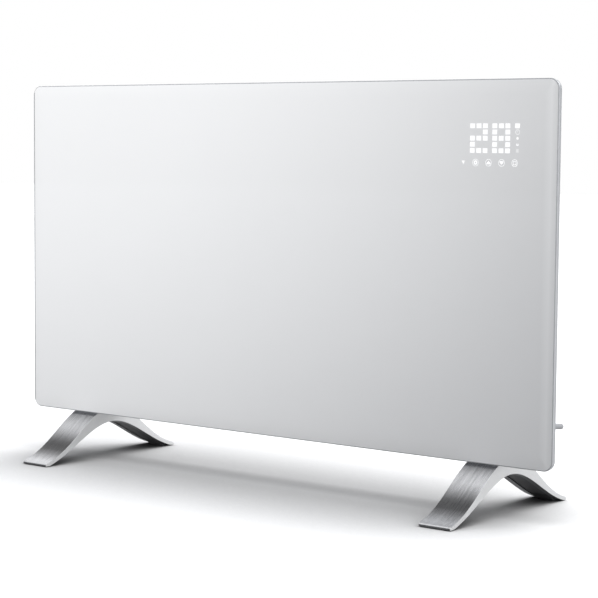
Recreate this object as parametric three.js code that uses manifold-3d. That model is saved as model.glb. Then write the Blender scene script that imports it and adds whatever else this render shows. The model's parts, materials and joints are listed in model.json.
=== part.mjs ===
// A glass-fronted panel convector heater standing on two arched metal feet.
// Millimetres. X runs along the panel, Y to the rear, Z up. The floor is z = 0 and
// the origin lies on it, midway between the feet.

import * as THREE from 'three';
import { mergeVertices } from 'three/addons/utils/BufferGeometryUtils.js';
import Module from 'manifold-3d';

const wasm = await Module();
wasm.setup();

// ---------------------------------------------------------------- driving sizes

const seatGap = 0.3;               // between two pieces that rest on each other
const holeGap = 0.3;               // around a shank or a neck in its hole
const pivotGap = 0.12;             // around a pivot pin in its bearing
const cutOver = 1;                 // cutting shapes run past the faces that they open
const joinOverlap = 0.5;           // joined shapes run into each other
const leastCornerRadius = 2;
const fineSegments = 24;           // sides of a round that something turns in or that shows

// Feet: cast legs with a rubber sole let into each underside.
const footSideInset = 63;          // case's side wall to the foot's middle
const footWidth = 43.3;
const footLength = 249;
const footHeight = 64;
const footSeatLength = 46;         // flat top that carries the case
const archHeight = 48;             // underside at the middle of the foot
const toeLift = 1;                 // metal above the floor
const toeFaceHeight = 2.2;
const toeChamfer = 1.2;
const toeFlatLength = 6.5;
const toeTopHandleLength = 43.8;   // curve handles of the leg's top side
const toeTopHandleRise = 12.3;
const seatHandleLength = 37.3;
const seatHandleDrop = 17.5;
const toeUnderHandleLength = 44.2; // curve handles of the leg's underside
const toeUnderHandleRise = 12.7;
const crownHandleLength = 38.7;
const legLipWidth = 9;             // side lip beside the sole
const soleRecessDepth = 4.5;
const soleRecessTaper = 15;        // length over which the recess grows shallow at the toe
const soleSetback = 1;             // sole below the lip's lower edge, inwards
const soleTreadLength = 12;        // part of the sole that touches the floor
const soleTreadEase = 1;           // least slope between the tread and the sole's hollow side
const crownBlockLength = 64;       // solid middle of the foot that takes the screws
const footScrewSpacing = 24;
const footScrewRadius = 2.5;
const footScrewHeadRadius = 4.5;
const footScrewHeadHeight = 3;
const footScrewHeadDepth = 4.5;    // underside of the foot to the top of the head's pocket
const footScrewTip = 2;            // screw beyond its plate
const footPlateLength = 40;
const footPlateWidth = 40;
const footPlateThickness = 3;

// Front panel: tempered glass bonded to a carrier frame.
const panelWidth = 830;
const panelHeight = 439.5;
const panelDrop = 2;               // glass hangs below the bottom of the case
const panelCornerRadius = 12;
const glassThickness = 4;
const glassPillowWidth = 18;       // border over which the face curves back
const glassPillowDrop = 0.9;
const glassEdgeRound = 1.2;
const glassBackChamfer = 0.4;
const frameDepth = 3.7;
const frameInset = 0.8;            // frame edge inside the glass edge
const frameRimWidth = 3;
const framePlateThickness = 1.2;
const bondStripWidth = 14;
const bondStripSideInset = 23;     // glass edge to the middle of each outer strip
const bondStripEndInset = 30;

// Rear case: folded sheet steel.
const caseSideInset = 32.5;        // glass edge to the case's side wall
const caseDepth = 51.7;
const caseBackY = 26;              // rear face behind the feet's middle
const caseTopDrop = 7.5;           // top of the case below the top of the glass
const caseSheet = 1.2;
const caseCornerRadius = 10;
const flangeWidth = 10;
const flangeEndInset = 22;
const caseScrewSpacing = 160;
const caseScrewRadius = 1.6;
const caseScrewHeadRadius = 3.2;
const caseScrewRimHeight = 1.1;
const caseScrewHeadHeight = 1.8;
const caseScrewCrownRadius = 1.6;
const caseScrewLength = 3;
const slotWidth = 3.6;             // finger-safe air slots
const slotPitch = 15;
const wallSlotLength = 36;         // slots in the top and bottom walls
const backSlotLength = 32;         // slots in the rear wall
const topSlotEdge = 52;            // slots stay this far from the case's side walls
const backSlotEdge = 82;
const bottomSlotGap = 25;          // and in the bottom wall this far from the foot plates
const backSlotInset = 22;          // rear slots inside the case's top and bottom edges
const hookSpacing = 500;
const hookWidth = 40;
const hookPlateHeight = 50;
const hookStrip = 1.5;
const hookThroat = 3;
const hookLipHeight = 26;
const hookTopDrop = 62;            // hook's top below the top of the case

// Display: lit blocks behind the glass, placed from the panel's upper right corner.
const ledWidth = 7;
const ledHeight = 5.9;
const ledPitchX = 8.6;
const ledPitchZ = 7;
const ledRows = 5;
const digitPitch = 29.8;           // first column of one digit to that of the next
const markOffset = 59.9;           // degree mark right of the first digit
const displayRightInset = 47.8;    // panel's right edge to the degree block
const displayTopInset = 49.6;      // panel's top edge to the top row
const displayMargin = 8.4;
const displaySideGap = 0.7;        // display holder to the case's right wall
const keyRowOverhang = 7;          // touch keys reach further left than the digits
const keyRowDrop = 11;             // touch keys below the bottom row of the digits
const keyRowHeight = 14;
const holderWall = 2;
const holderDepth = 6;
const holderFlange = 3;
const holderFlangeThickness = 1.5;
const guideBossHeight = 1.6;
const guidePlate = 1.6;
const boardThickness = 1.6;
const boardToGuide = 1.2;
const keyFoilInset = 1;
const keyFoilThickness = 0.6;

// Heating chamber.
const shieldThickness = 0.8;
const shieldStandoff = 11.7;       // shield behind the front of the case
const shieldTopDrop = 45;          // below the top of the case
const shieldLip = 10;
const bracketLeftInset = 37.5;     // case's left wall to the left bracket
const bracketSheet = 1.2;
const bracketFlange = 12;
const bracketHeight = 170;
const bracketBottomRise = 35;      // above the bottom of the case
const elementFins = 8;
const elementRadius = 14;
const elementHubRadius = 6.6;
const elementFinThickness = 2.4;
const elementBore = 4.3;
const elementCoreRadius = 4;
const elementCoreTail = 18;        // core beyond each bracket
const elementFirstRise = 44;       // first element above the bracket's lower end
const elementSpacing = 72;
const elementEndGap = 14;          // finned body short of each bracket
const bushNeckRadius = 6.5;
const bushFlangeRadius = 9;
const bushFlangeThickness = 3;
const cutoutRadius = 8;
const cutoutBaseHeight = 3;
const cutoutCapRadius = 5.6;
const cutoutHeight = 6;
const cutoutGap = 6;               // above the upper bush
const linkWidth = 8;
const linkThickness = 1.5;

// Electronics.
const trayWidth = 100;
const trayHeight = 220;
const trayWallHeight = 16;
const traySheet = 2;
const trayRightGap = 1.3;          // tray to the case's right wall
const trayLeftGap = 18;            // right bracket to the tray
const trayBottomRise = 56;         // clears the gland's nut
const trayPostSize = 6;
const trayPostHeight = 6;
const boardInset = 4;
const relayWidth = 19;
const relayDepth = 16;             // out of the board
const relayHeight = 15.5;
const supplyWidth = 38;
const supplyDepth = 22;
const supplyHeight = 32;
const terminalWidth = 46;
const terminalDepth = 14;
const terminalHeight = 12;
const relaySpacing = 8;
const relayTopInset = 90;          // relays below the board's upper edge
const supplyRise = 16;             // supply block above the relays
const terminalRise = 44;           // terminal block above the board's lower edge
const terminalInset = 2;
const leadEndGap = 0.6;            // at each end of a round lead
const leadRadius = 1.5;
const leadBend = 6;                // straight run before a lead turns
const leadDip = 15;                // element leads cross this far below the relays
const leadSides = 6;
const leadSteps = 14;
const ribbonWidth = 12;
const ribbonThickness = 1;
const ribbonTopInset = 4;          // ribbon's end above the display board's lower edge
const ribbonLandingDrop = 24;      // ribbon meets the board below its upper edge
const ribbonLandingLength = 10;
const sensorRadius = 2.5;
const sensorLength = 14;
const sensorFlangeRadius = 4;
const sensorFlangeThickness = 2;
const sensorTipRadius = 1.5;
const sensorTipLength = 1;
const sensorPlateGap = 12;         // right foot plate to the sensor's middle

// Mains switch in the right side wall.
const switchRise = 84;             // above the bottom of the case
const switchOffsetY = 0;
const switchBodyWidth = 12.4;
const switchBodyLength = 19;
const switchBodyDepth = 18;
const switchBezelWidth = 15;
const switchBezelLength = 22;
const switchBezelThickness = 1.6;
const rockerHalfLength = 7.2;
const rockerHalfWidth = 4.3;
const rockerSideGap = 0.4;
const rockerEndGap = 0.6;
const rockerWingHeight = 2.2;
const rockerDishHeight = 0.9;
const rockerWingDepth = 0.8;
const rockerKeelDepth = 3;
const rockerFloorGap = 1;          // keel to the floor of the switch's pocket
const rockerKeelHalf = 2;
const rockerPinRadius = 0.9;
const rockerPinReach = 0.8;
const rockerTilt = 10;             // degrees from level in either position

// Tip-over switch: a pendulum in an open-fronted case on the board.
const tiltCaseWidth = 22;
const tiltCaseDepth = 24;
const tiltCaseHeight = 30;
const tiltCaseWall = 1.5;
const tiltCaseRise = 6;            // above the board's lower edge
const pendulumPinRadius = 1.2;
const pendulumPinDrop = 6;
const pendulumLength = 14;
const pendulumRod = 2;
const pendulumBobRadius = 4;
const pendulumBobLength = 9;

// Cord gland at the lower right corner of the rear wall.
const glandSideInset = 8.1;
const glandRise = 39.7;            // above the bottom of the case
const glandFlangeRadius = 7.35;
const glandFlangeThickness = 4.5;
const glandRimHeight = 2;
const glandShoulderRadius = 6.5;
const glandShoulderHeight = 3.6;
const glandCrownRadius = 4.4;
const glandNeckRadius = 4.5;
const glandNeckLength = 8;
const glandSleeveRadius = 3.35;
const glandSleeveLength = 23;
const glandDroop = 7;              // degrees below level
const glandBore = 1.9;
const glandNutRadius = 6;
const glandNutThickness = 4;

// ------------------------------------------------------------- derived positions

const caseWidth = panelWidth - 2 * caseSideInset;
const footX = caseWidth / 2 - footSideInset;
const caseBottomZ = footHeight + seatGap;
const panelBottomZ = caseBottomZ - panelDrop;
const panelTopZ = panelBottomZ + panelHeight;
const caseTopZ = panelTopZ - caseTopDrop;
const caseFrontY = caseBackY - caseDepth;
const caseInnerBackY = caseBackY - caseSheet;
const caseFloorZ = caseBottomZ + caseSheet;
const frameBackY = caseFrontY - seatGap;
const frameFrontY = frameBackY - frameDepth;
const framePlateY = frameBackY - framePlateThickness;
const glassBackY = frameFrontY - seatGap;
const glassFrontY = glassBackY - glassThickness;

const digitLeftX = panelWidth / 2 - displayRightInset - ledWidth - markOffset;
const digitTopZ = panelTopZ - displayTopInset;
const digitBottomZ = digitTopZ - (ledRows - 1) * ledPitchZ - ledHeight;
const displayLeftX = digitLeftX - displayMargin - keyRowOverhang;
const displayRightX = caseWidth / 2 - caseSheet - displaySideGap - holderFlange - holderWall;
const displayTopZ = digitTopZ + displayMargin / 2;
const displayBottomZ = digitBottomZ - keyRowDrop - keyRowHeight / 2;

const shieldFrontY = caseFrontY + shieldStandoff;
const shieldBackY = shieldFrontY + shieldThickness;
const trayLeftX = caseWidth / 2 - caseSheet - trayRightGap - trayWidth;
const bracketLeftX = -caseWidth / 2 + bracketLeftInset;
const bracketRightX = trayLeftX - trayLeftGap - bracketFlange;
const bracketBottomZ = caseBottomZ + bracketBottomRise;
const bracketFrontY = shieldBackY + seatGap;
const bracketBackY = caseInnerBackY - seatGap;
const elementY = (bracketFrontY + bracketBackY) / 2;
const elementZ = [0, 1].map((row) => bracketBottomZ + elementFirstRise + row * elementSpacing);
const coreLeftX = bracketLeftX - elementCoreTail;
const coreRightX = bracketRightX + bracketSheet + elementCoreTail;

const trayBottomZ = caseBottomZ + trayBottomRise;
const trayBackY = caseInnerBackY - seatGap;
const trayFloorY = trayBackY - traySheet;
const boardBackY = trayFloorY - trayPostHeight - seatGap;
const boardFaceY = boardBackY - boardThickness;
const partSeatY = boardFaceY - seatGap;
const boardLeftX = trayLeftX + boardInset;
const boardRightX = trayLeftX + trayWidth - boardInset;
const boardBottomZ = trayBottomZ + boardInset;
const boardTopZ = trayBottomZ + trayHeight - boardInset;

const terminalLeftX = boardRightX - terminalInset - terminalWidth;
const terminalZ = boardBottomZ + terminalRise;

const switchX = caseWidth / 2;
const switchZ = caseBottomZ + switchRise;
const pocketHalfLength = rockerHalfLength + rockerEndGap;
const pocketHalfWidth = rockerHalfWidth + rockerSideGap;
const rockerPivotX = switchX + seatGap + switchBezelThickness - rockerDishHeight;

const tiltCaseLeftX = boardLeftX + tiltCaseRise;
const tiltCaseBottomZ = boardBottomZ + tiltCaseRise;
const tiltCaseFrontY = partSeatY - tiltCaseDepth;
const pendulumX = tiltCaseLeftX + tiltCaseWidth / 2;
const pendulumY = partSeatY - tiltCaseDepth / 2;
const pendulumZ = tiltCaseBottomZ + tiltCaseHeight - pendulumPinDrop;

const glandX = caseWidth / 2 - glandSideInset;
const glandZ = caseBottomZ + glandRise;

// ---------------------------------------------------------------------- finishes

function finish(color, roughness, metalness = 0) {
  return new THREE.MeshStandardMaterial({ color, roughness, metalness });
}

const whiteGlass = finish(0xeef0f3, 0.08);
const lightFrame = finish(0xe2e3e6, 0.45);
const whiteSteel = finish(0xe9eaec, 0.5, 0.2);
const brushedMetal = finish(0xb9bbbf, 0.32, 0.9);
const blackRubber = finish(0x1b1c1e, 0.8);
const blackPlastic = finish(0x222326, 0.55);
const palePlastic = finish(0xd2d3d6, 0.5);
const zincSteel = finish(0xaeb1b5, 0.4, 0.8);
const bareAluminium = finish(0xc4c6c9, 0.4, 0.9);
const ceramic = finish(0xf0ead8, 0.7);
const boardGreen = finish(0x1d5a3a, 0.5);
const lightGuide = finish(0xf7f9ff, 0.3);
const foamTape = finish(0x6f7276, 0.9);
const copperFoil = finish(0xc08a5a, 0.4, 0.8);
const relayBlue = finish(0x2a5fa8, 0.45);
const redSleeve = finish(0xa8332a, 0.6);
const greySleeve = finish(0x85888c, 0.6);

// ----------------------------------------------------------------- shape helpers

const heater = new THREE.Group();

// Turns a closed geometry into a solid that can be cut and joined.
function toSolid(geometry) {
  const bare = geometry.clone();
  bare.deleteAttribute('normal');
  bare.deleteAttribute('uv');
  const merged = mergeVertices(bare, 1e-4);
  const index = merged.index.array;
  const triVerts = [];
  for (let i = 0; i < index.length; i += 3) {
    const [a, b, c] = [index[i], index[i + 1], index[i + 2]];
    if (a !== b && b !== c && c !== a) triVerts.push(a, b, c);
  }
  const mesh = new wasm.Mesh({
    numProp: 3,
    vertProperties: new Float32Array(merged.attributes.position.array),
    triVerts: new Uint32Array(triVerts),
  });
  return new wasm.Manifold(mesh);
}

function toGeometry(solid) {
  const { vertProperties, triVerts } = solid.getMesh();
  const geometry = new THREE.BufferGeometry();
  geometry.setAttribute('position', new THREE.BufferAttribute(vertProperties, 3));
  geometry.setIndex(new THREE.BufferAttribute(triVerts, 1));
  geometry.computeVertexNormals();
  return geometry;
}

function cut(body, ...tools) {
  return tools.reduce((left, tool) => left.subtract(tool), body);
}

function join(...bodies) {
  return bodies.reduce((all, body) => all.add(body));
}

function place(name, solid, material) {
  const mesh = new THREE.Mesh(toGeometry(solid), material);
  mesh.name = name;
  heater.add(mesh);
  return mesh;
}

function block(low, high) {
  const size = high.map((value, axis) => value - low[axis]);
  const middle = high.map((value, axis) => (value + low[axis]) / 2);
  return toSolid(new THREE.BoxGeometry(...size).translate(...middle));
}

// Extrudes an outline drawn in (x, z) from yFront back to yRear.
function slabXZ(shapes, yFront, yRear, curveSegments = 6) {
  const options = { depth: yRear - yFront, bevelEnabled: false, curveSegments };
  const geometry = new THREE.ExtrudeGeometry(shapes, options);
  return toSolid(geometry.rotateX(Math.PI / 2).translate(0, yRear, 0));
}

// Extrudes an outline drawn in (x, y) from zLow up to zHigh.
function slabXY(shapes, zLow, zHigh, curveSegments = 6) {
  const options = { depth: zHigh - zLow, bevelEnabled: false, curveSegments };
  return toSolid(new THREE.ExtrudeGeometry(shapes, options).translate(0, 0, zLow));
}

// Extrudes an outline drawn in (y, z) from xLeft to xRight.
function slabYZ(shapes, xLeft, xRight, curveSegments = 6) {
  const options = { depth: xRight - xLeft, bevelEnabled: false, curveSegments };
  const geometry = new THREE.ExtrudeGeometry(shapes, options);
  const turn = new THREE.Matrix4().makeBasis(
    new THREE.Vector3(0, 1, 0),
    new THREE.Vector3(0, 0, 1),
    new THREE.Vector3(1, 0, 0),
  );
  return toSolid(geometry.applyMatrix4(turn).translate(xLeft, 0, 0));
}

function outline(points) {
  return new THREE.Shape(points.map(([x, y]) => new THREE.Vector2(x, y)));
}

function roundedRectangle(left, right, low, high, radius) {
  const shape = new THREE.Shape();
  shape.absarc(right - radius, low + radius, radius, -Math.PI / 2, 0);
  shape.absarc(right - radius, high - radius, radius, 0, Math.PI / 2);
  shape.absarc(left + radius, high - radius, radius, Math.PI / 2, Math.PI);
  shape.absarc(left + radius, low + radius, radius, Math.PI, 1.5 * Math.PI);
  return shape;
}

// Turns a profile of [radius, height] points about the Y axis, closed if asked.
function turned(profile, segments = 12, closed = false) {
  const points = profile.map(([radius, height]) => new THREE.Vector2(radius, height));
  if (closed) points.push(points[0].clone());
  return toSolid(new THREE.LatheGeometry(points, segments));
}

function rod(radius, length, segments = 12) {
  return turned([[0, 0], [radius, 0], [radius, length], [0, length]], segments);
}

// A cutting rod that runs past both ends of the bore that it makes.
function borer(radius, length, segments = 12) {
  return rod(radius, length + 2 * cutOver, segments).translate(0, -cutOver, 0);
}

const toX = [0, 0, -90];           // turns a rod from Y to +X
const toZ = [90, 0, 0];            // turns a rod from Y to +Z

// ------------------------------------------------------------------------- feet

function legUnderside() {
  const toeY = footLength / 2 - toeFlatLength;
  return new THREE.CubicBezierCurve(
    new THREE.Vector2(toeY, toeLift),
    new THREE.Vector2(toeY - toeUnderHandleLength, toeLift + toeUnderHandleRise),
    new THREE.Vector2(crownHandleLength, archHeight),
    new THREE.Vector2(0, archHeight),
  );
}

function legTop() {
  const toeY = footLength / 2 - toeChamfer;
  const toeZ = toeLift + toeFaceHeight + toeChamfer;
  const seatY = footSeatLength / 2;
  return new THREE.CubicBezierCurve(
    new THREE.Vector2(toeY, toeZ),
    new THREE.Vector2(toeY - toeTopHandleLength, toeZ + toeTopHandleRise),
    new THREE.Vector2(seatY + seatHandleLength, footHeight - seatHandleDrop),
    new THREE.Vector2(seatY, footHeight),
  );
}

function footProfile() {
  const rearTop = legTop().getPoints(12).reverse();
  const rearUnder = legUnderside().getPoints(10);
  const toeTip = new THREE.Vector2(footLength / 2, toeLift + toeFaceHeight);
  const toeFoot = new THREE.Vector2(footLength / 2, toeLift);
  const rear = [...rearTop, toeTip, toeFoot, ...rearUnder];
  const front = rear.slice(0, -1).reverse().map((p) => new THREE.Vector2(-p.x, p.y));
  return new THREE.Shape([...rear, ...front]);
}

// Points along a leg's underside between the crown block and the toe's flat.
function recessPoints() {
  return legUnderside().getPoints(12).filter((p) => p.x > crownBlockLength / 2);
}

function recessCeiling(p) {
  const toToe = footLength / 2 - toeFlatLength / 2 - p.x;
  return p.y + soleRecessDepth * Math.min(1, toToe / soleRecessTaper);
}

function legRecess(side) {
  const points = recessPoints();
  const ceiling = points.map((p) => [side * p.x, recessCeiling(p)]);
  const below = -toeLift;
  const ends = [[side * points.at(-1).x, below], [side * points[0].x, below]];
  return outline([...ceiling, ...ends]);
}

function soleProfile(side) {
  const points = recessPoints();
  const toe = points[0];
  const treadStart = toe.x - seatGap - soleTreadLength;
  const inner = points.at(-1);
  const top = points.map((p) => [p.x, recessCeiling(p) - seatGap]);
  top[0][0] -= seatGap;
  top[top.length - 1][0] += seatGap;
  const under = points.filter((p) => p.x < treadStart - soleTreadEase && p !== inner);
  const innerFace = [inner.x + seatGap, inner.y + soleSetback];
  const bottom = under.map((p) => [p.x, p.y + soleSetback]).reverse();
  const tread = [[treadStart, 0], [toe.x - seatGap, 0]];
  const loop = [...top, innerFace, ...bottom, ...tread];
  return outline(loop.map(([y, z]) => [side * y, z]));
}

function footScrewPlaces(middleX) {
  return [-1, 1].map((side) => [middleX, side * footScrewSpacing / 2]);
}

function footScrewHole(radius, [x, y], low, high) {
  return rod(radius, high - low).rotate(toZ).translate(x, y, low);
}

function undersideAt(y) {
  const samples = 40;
  const points = legUnderside().getPoints(samples);
  const near = points.reduce((best, p) => (Math.abs(p.x - y) < Math.abs(best.x - y) ? p : best));
  return near.y;
}

function buildFoot(name, middleX) {
  const left = middleX - footWidth / 2;
  const right = middleX + footWidth / 2;
  let foot = slabYZ(footProfile(), left, right);
  for (const side of [-1, 1]) {
    foot = cut(foot, slabYZ(legRecess(side), left + legLipWidth, right - legLipWidth));
  }
  const pocketTop = undersideAt(footScrewSpacing / 2) + footScrewHeadDepth;
  for (const spot of footScrewPlaces(middleX)) {
    const shank = footScrewHole(footScrewRadius + holeGap, spot, 0, footHeight + seatGap);
    const pocket = footScrewHole(footScrewHeadRadius + holeGap, spot, 0, pocketTop);
    foot = cut(foot, shank, pocket);
  }
  place(name, foot, brushedMetal);
}

function buildSoles(side, middleX) {
  const left = middleX - footWidth / 2 + legLipWidth + holeGap;
  const right = middleX + footWidth / 2 - legLipWidth - holeGap;
  place(`sole_${side}_front`, slabYZ(soleProfile(-1), left, right), blackRubber);
  place(`sole_${side}_rear`, slabYZ(soleProfile(1), left, right), blackRubber);
}

function buildFootFixings(side, middleX) {
  const plateBottom = caseFloorZ + seatGap;
  const plateTop = plateBottom + footPlateThickness;
  let plate = block(
    [middleX - footPlateWidth / 2, -footPlateLength / 2, plateBottom],
    [middleX + footPlateWidth / 2, footPlateLength / 2, plateTop],
  );
  const headTop = undersideAt(footScrewSpacing / 2) + footScrewHeadDepth - seatGap;
  const headBottom = headTop - footScrewHeadHeight;
  const screwLength = plateTop + footScrewTip - headBottom;
  footScrewPlaces(middleX).forEach(([x, y], index) => {
    const hole = footScrewHole(footScrewRadius + holeGap, [x, y], caseFloorZ, plateTop + cutOver);
    plate = cut(plate, hole);
    const screw = turned([
      [0, 0],
      [footScrewHeadRadius, 0],
      [footScrewHeadRadius, footScrewHeadHeight],
      [footScrewRadius, footScrewHeadHeight],
      [footScrewRadius, screwLength],
      [0, screwLength],
    ]);
    const standing = screw.rotate(toZ).translate(x, y, headBottom);
    place(`foot_screw_${side}_${index + 1}`, standing, zincSteel);
  });
  place(`foot_plate_${side}`, plate, zincSteel);
}

function buildFeet() {
  for (const [side, middleX] of [['left', -footX], ['right', footX]]) {
    buildFoot(`foot_${side}`, middleX);
    buildSoles(side, middleX);
    buildFootFixings(side, middleX);
  }
}

// ------------------------------------------------------------------ front panel

// One ring of the glass: the panel's outline moved inwards by inset, at depth y.
function glassRing(inset, y, cornerSteps = 6) {
  const radius = Math.max(panelCornerRadius - inset, leastCornerRadius);
  const halfWidth = panelWidth / 2 - inset - radius;
  const halfHeight = panelHeight / 2 - inset - radius;
  const middleZ = (panelTopZ + panelBottomZ) / 2;
  const ring = [];
  const corners = [[1, -1], [1, 1], [-1, 1], [-1, -1]];
  corners.forEach(([sideX, sideZ], quarter) => {
    for (let step = 0; step <= cornerSteps; step += 1) {
      const angle = (quarter - 1 + step / cornerSteps) * Math.PI / 2;
      const x = sideX * halfWidth + radius * Math.cos(angle);
      const z = middleZ + sideZ * halfHeight + radius * Math.sin(angle);
      ring.push(new THREE.Vector3(x, y, z));
    }
  });
  return ring;
}

function glassRings() {
  const rings = [];
  const pillowSteps = 5;
  for (let step = 0; step <= pillowSteps; step += 1) {
    const share = step / pillowSteps;
    const inset = glassPillowWidth + (glassEdgeRound - glassPillowWidth) * share;
    rings.push(glassRing(inset, glassFrontY + glassPillowDrop * share ** 2));
  }
  const roundSteps = 3;
  for (let step = 1; step <= roundSteps; step += 1) {
    const angle = (step / roundSteps) * Math.PI / 2;
    const inset = glassEdgeRound * (1 - Math.sin(angle));
    const depth = glassPillowDrop + glassEdgeRound * (1 - Math.cos(angle));
    rings.push(glassRing(inset, glassFrontY + depth));
  }
  rings.push(glassRing(0, glassBackY - glassBackChamfer));
  rings.push(glassRing(glassBackChamfer, glassBackY));
  return rings;
}

// Joins rings of equal length into one closed skin with a cap on each end.
function loft(rings) {
  const count = rings[0].length;
  const positions = rings.flat().flatMap((p) => [p.x, p.y, p.z]);
  const index = [];
  for (let ring = 0; ring < rings.length - 1; ring += 1) {
    for (let i = 0; i < count; i += 1) {
      const a = ring * count + i;
      const b = ring * count + (i + 1) % count;
      index.push(a, a + count, b, b, a + count, b + count);
    }
  }
  const last = (rings.length - 1) * count;
  for (let i = 1; i < count - 1; i += 1) {
    index.push(0, i, i + 1);
    index.push(last, last + i + 1, last + i);
  }
  const geometry = new THREE.BufferGeometry();
  geometry.setAttribute('position', new THREE.Float32BufferAttribute(positions, 3));
  geometry.setIndex(index);
  return geometry;
}

function buildGlass() {
  place('front_glass', toSolid(loft(glassRings())), whiteGlass);
}

function frameOutline(inset) {
  const edge = frameInset + inset;
  return roundedRectangle(
    -panelWidth / 2 + edge,
    panelWidth / 2 - edge,
    panelBottomZ + edge,
    panelTopZ - edge,
    Math.max(panelCornerRadius - edge, leastCornerRadius),
  );
}

function caseScrewPlaces() {
  const x = caseWidth / 2 + flangeWidth / 2;
  const middleZ = (caseBottomZ + caseTopZ) / 2;
  const rows = [-1, 0, 1].map((row) => middleZ + row * caseScrewSpacing);
  return [-x, x].flatMap((side) => rows.map((z) => [side, z]));
}

function caseScrewHole([x, z]) {
  const length = framePlateThickness + seatGap + caseSheet;
  return borer(caseScrewRadius + holeGap, length).translate(x, framePlateY, z);
}

function buildFrame() {
  const body = slabXZ(frameOutline(0), frameFrontY, frameBackY);
  const pocket = slabXZ(frameOutline(frameRimWidth), frameFrontY - cutOver, framePlateY);
  const margin = holderWall + holeGap;
  const window = block(
    [displayLeftX - margin, frameFrontY - cutOver, displayBottomZ - margin],
    [displayRightX + margin, frameBackY + cutOver, displayTopZ + margin],
  );
  const holes = caseScrewPlaces().map(caseScrewHole);
  place('carrier_frame', cut(body, pocket, window, ...holes), lightFrame);
}

function buildBondStrips() {
  ['left', 'middle', 'right'].forEach((side, index) => {
    const x = (index - 1) * (panelWidth / 2 - bondStripSideInset);
    const strip = block(
      [x - bondStripWidth / 2, glassBackY + seatGap, panelBottomZ + bondStripEndInset],
      [x + bondStripWidth / 2, framePlateY - seatGap, panelTopZ - bondStripEndInset],
    );
    place(`bond_strip_${side}`, strip, foamTape);
  });
}

// -------------------------------------------------------------------- display

const digitRows = {
  two: ['111', '001', '111', '100', '111'],
  eight: ['111', '101', '111', '101', '111'],
};

// Lower left corners of the lit blocks: two digits and a degree mark.
function litBlocks() {
  const spots = [];
  [digitRows.two, digitRows.eight].forEach((rows, digit) => {
    rows.forEach((cells, row) => {
      [...cells].forEach((cell, column) => {
        const x = digitLeftX + digit * digitPitch + column * ledPitchX;
        if (cell === '1') spots.push([x, digitTopZ - ledHeight - row * ledPitchZ]);
      });
    });
  });
  spots.push([digitLeftX + markOffset, digitTopZ - ledHeight]);
  return spots;
}

function buildDisplay() {
  const holderFront = glassBackY + seatGap;
  const holderBack = holderFront + holderDepth;
  const flangeFront = frameBackY + seatGap;
  const tube = block(
    [displayLeftX - holderWall, holderFront, displayBottomZ - holderWall],
    [displayRightX + holderWall, holderBack, displayTopZ + holderWall],
  );
  const reach = holderWall + holderFlange;
  const flange = block(
    [displayLeftX - reach, flangeFront, displayBottomZ - reach],
    [displayRightX + reach, flangeFront + holderFlangeThickness, displayTopZ + reach],
  );
  const opening = block(
    [displayLeftX, holderFront - cutOver, displayBottomZ],
    [displayRightX, holderBack + cutOver, displayTopZ],
  );
  place('display_holder', cut(join(tube, flange), opening), blackPlastic);

  const left = displayLeftX + holeGap;
  const right = displayRightX - holeGap;
  const bottom = displayBottomZ + holeGap;
  const top = displayTopZ - holeGap;
  const keyTopZ = digitBottomZ - keyRowDrop + keyRowHeight / 2;
  const bossFront = glassBackY + seatGap;
  const plateFront = bossFront + guideBossHeight;
  const plateBack = plateFront + guidePlate;
  const plate = block([left, plateFront, bottom], [right, plateBack, top]);
  const bosses = litBlocks().map(([x, z]) => (
    block([x, bossFront, z], [x + ledWidth, plateFront + joinOverlap, z + ledHeight])
  ));
  place('display_light_guide', join(plate, ...bosses), lightGuide);

  const foil = block(
    [left + keyFoilInset, bossFront, bottom + keyFoilInset],
    [right - keyFoilInset, bossFront + keyFoilThickness, keyTopZ],
  );
  place('touch_key_foil', foil, copperFoil);

  const boardFront = plateBack + boardToGuide;
  const board = block([left, boardFront, bottom], [right, boardFront + boardThickness, top]);
  place('display_board', board, boardGreen);
  return boardFront + boardThickness;
}

// -------------------------------------------------------------------- rear case

// As many slots as fit in a width, centred on the case.
function slotRow(width, makeSlot) {
  const count = Math.floor(width / slotPitch);
  return Array.from({ length: count }, (_, index) => (
    makeSlot((index - (count - 1) / 2) * slotPitch)
  ));
}

function uprightSlot(x, low, high) {
  const radius = slotWidth / 2;
  const shape = new THREE.Shape();
  shape.absarc(x, high - radius, radius, 0, Math.PI);
  shape.absarc(x, low + radius, radius, Math.PI, 2 * Math.PI);
  return shape;
}

function airSlots() {
  const slotEndSteps = 1;
  const middleY = (caseFrontY + caseBackY) / 2;
  const half = wallSlotLength / 2;
  const wallSlot = (x) => uprightSlot(x, middleY - half, middleY + half);
  const topRow = slotRow(caseWidth - 2 * topSlotEdge, wallSlot);
  const bottomWidth = 2 * (footX - footPlateWidth / 2 - bottomSlotGap);
  const bottomRow = slotRow(bottomWidth, wallSlot);
  const backRow = (low) => slotRow(caseWidth - 2 * backSlotEdge, (x) => (
    uprightSlot(x, low, low + backSlotLength)
  ));
  const upperRow = backRow(caseTopZ - backSlotInset - backSlotLength);
  const lowerRow = backRow(caseBottomZ + backSlotInset);
  const rearLow = caseInnerBackY - cutOver;
  const rearHigh = caseBackY + cutOver;
  return [
    slabXY(topRow, caseTopZ - 2 * caseSheet, caseTopZ + cutOver, slotEndSteps),
    slabXY(bottomRow, caseBottomZ - cutOver, caseBottomZ + 2 * caseSheet, slotEndSteps),
    slabXZ(upperRow, rearLow, rearHigh, slotEndSteps),
    slabXZ(lowerRow, rearLow, rearHigh, slotEndSteps),
  ];
}

function caseOutline(inset) {
  return roundedRectangle(
    -caseWidth / 2 + inset,
    caseWidth / 2 - inset,
    caseBottomZ + inset,
    caseTopZ - inset,
    Math.max(caseCornerRadius - inset, leastCornerRadius),
  );
}

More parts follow.
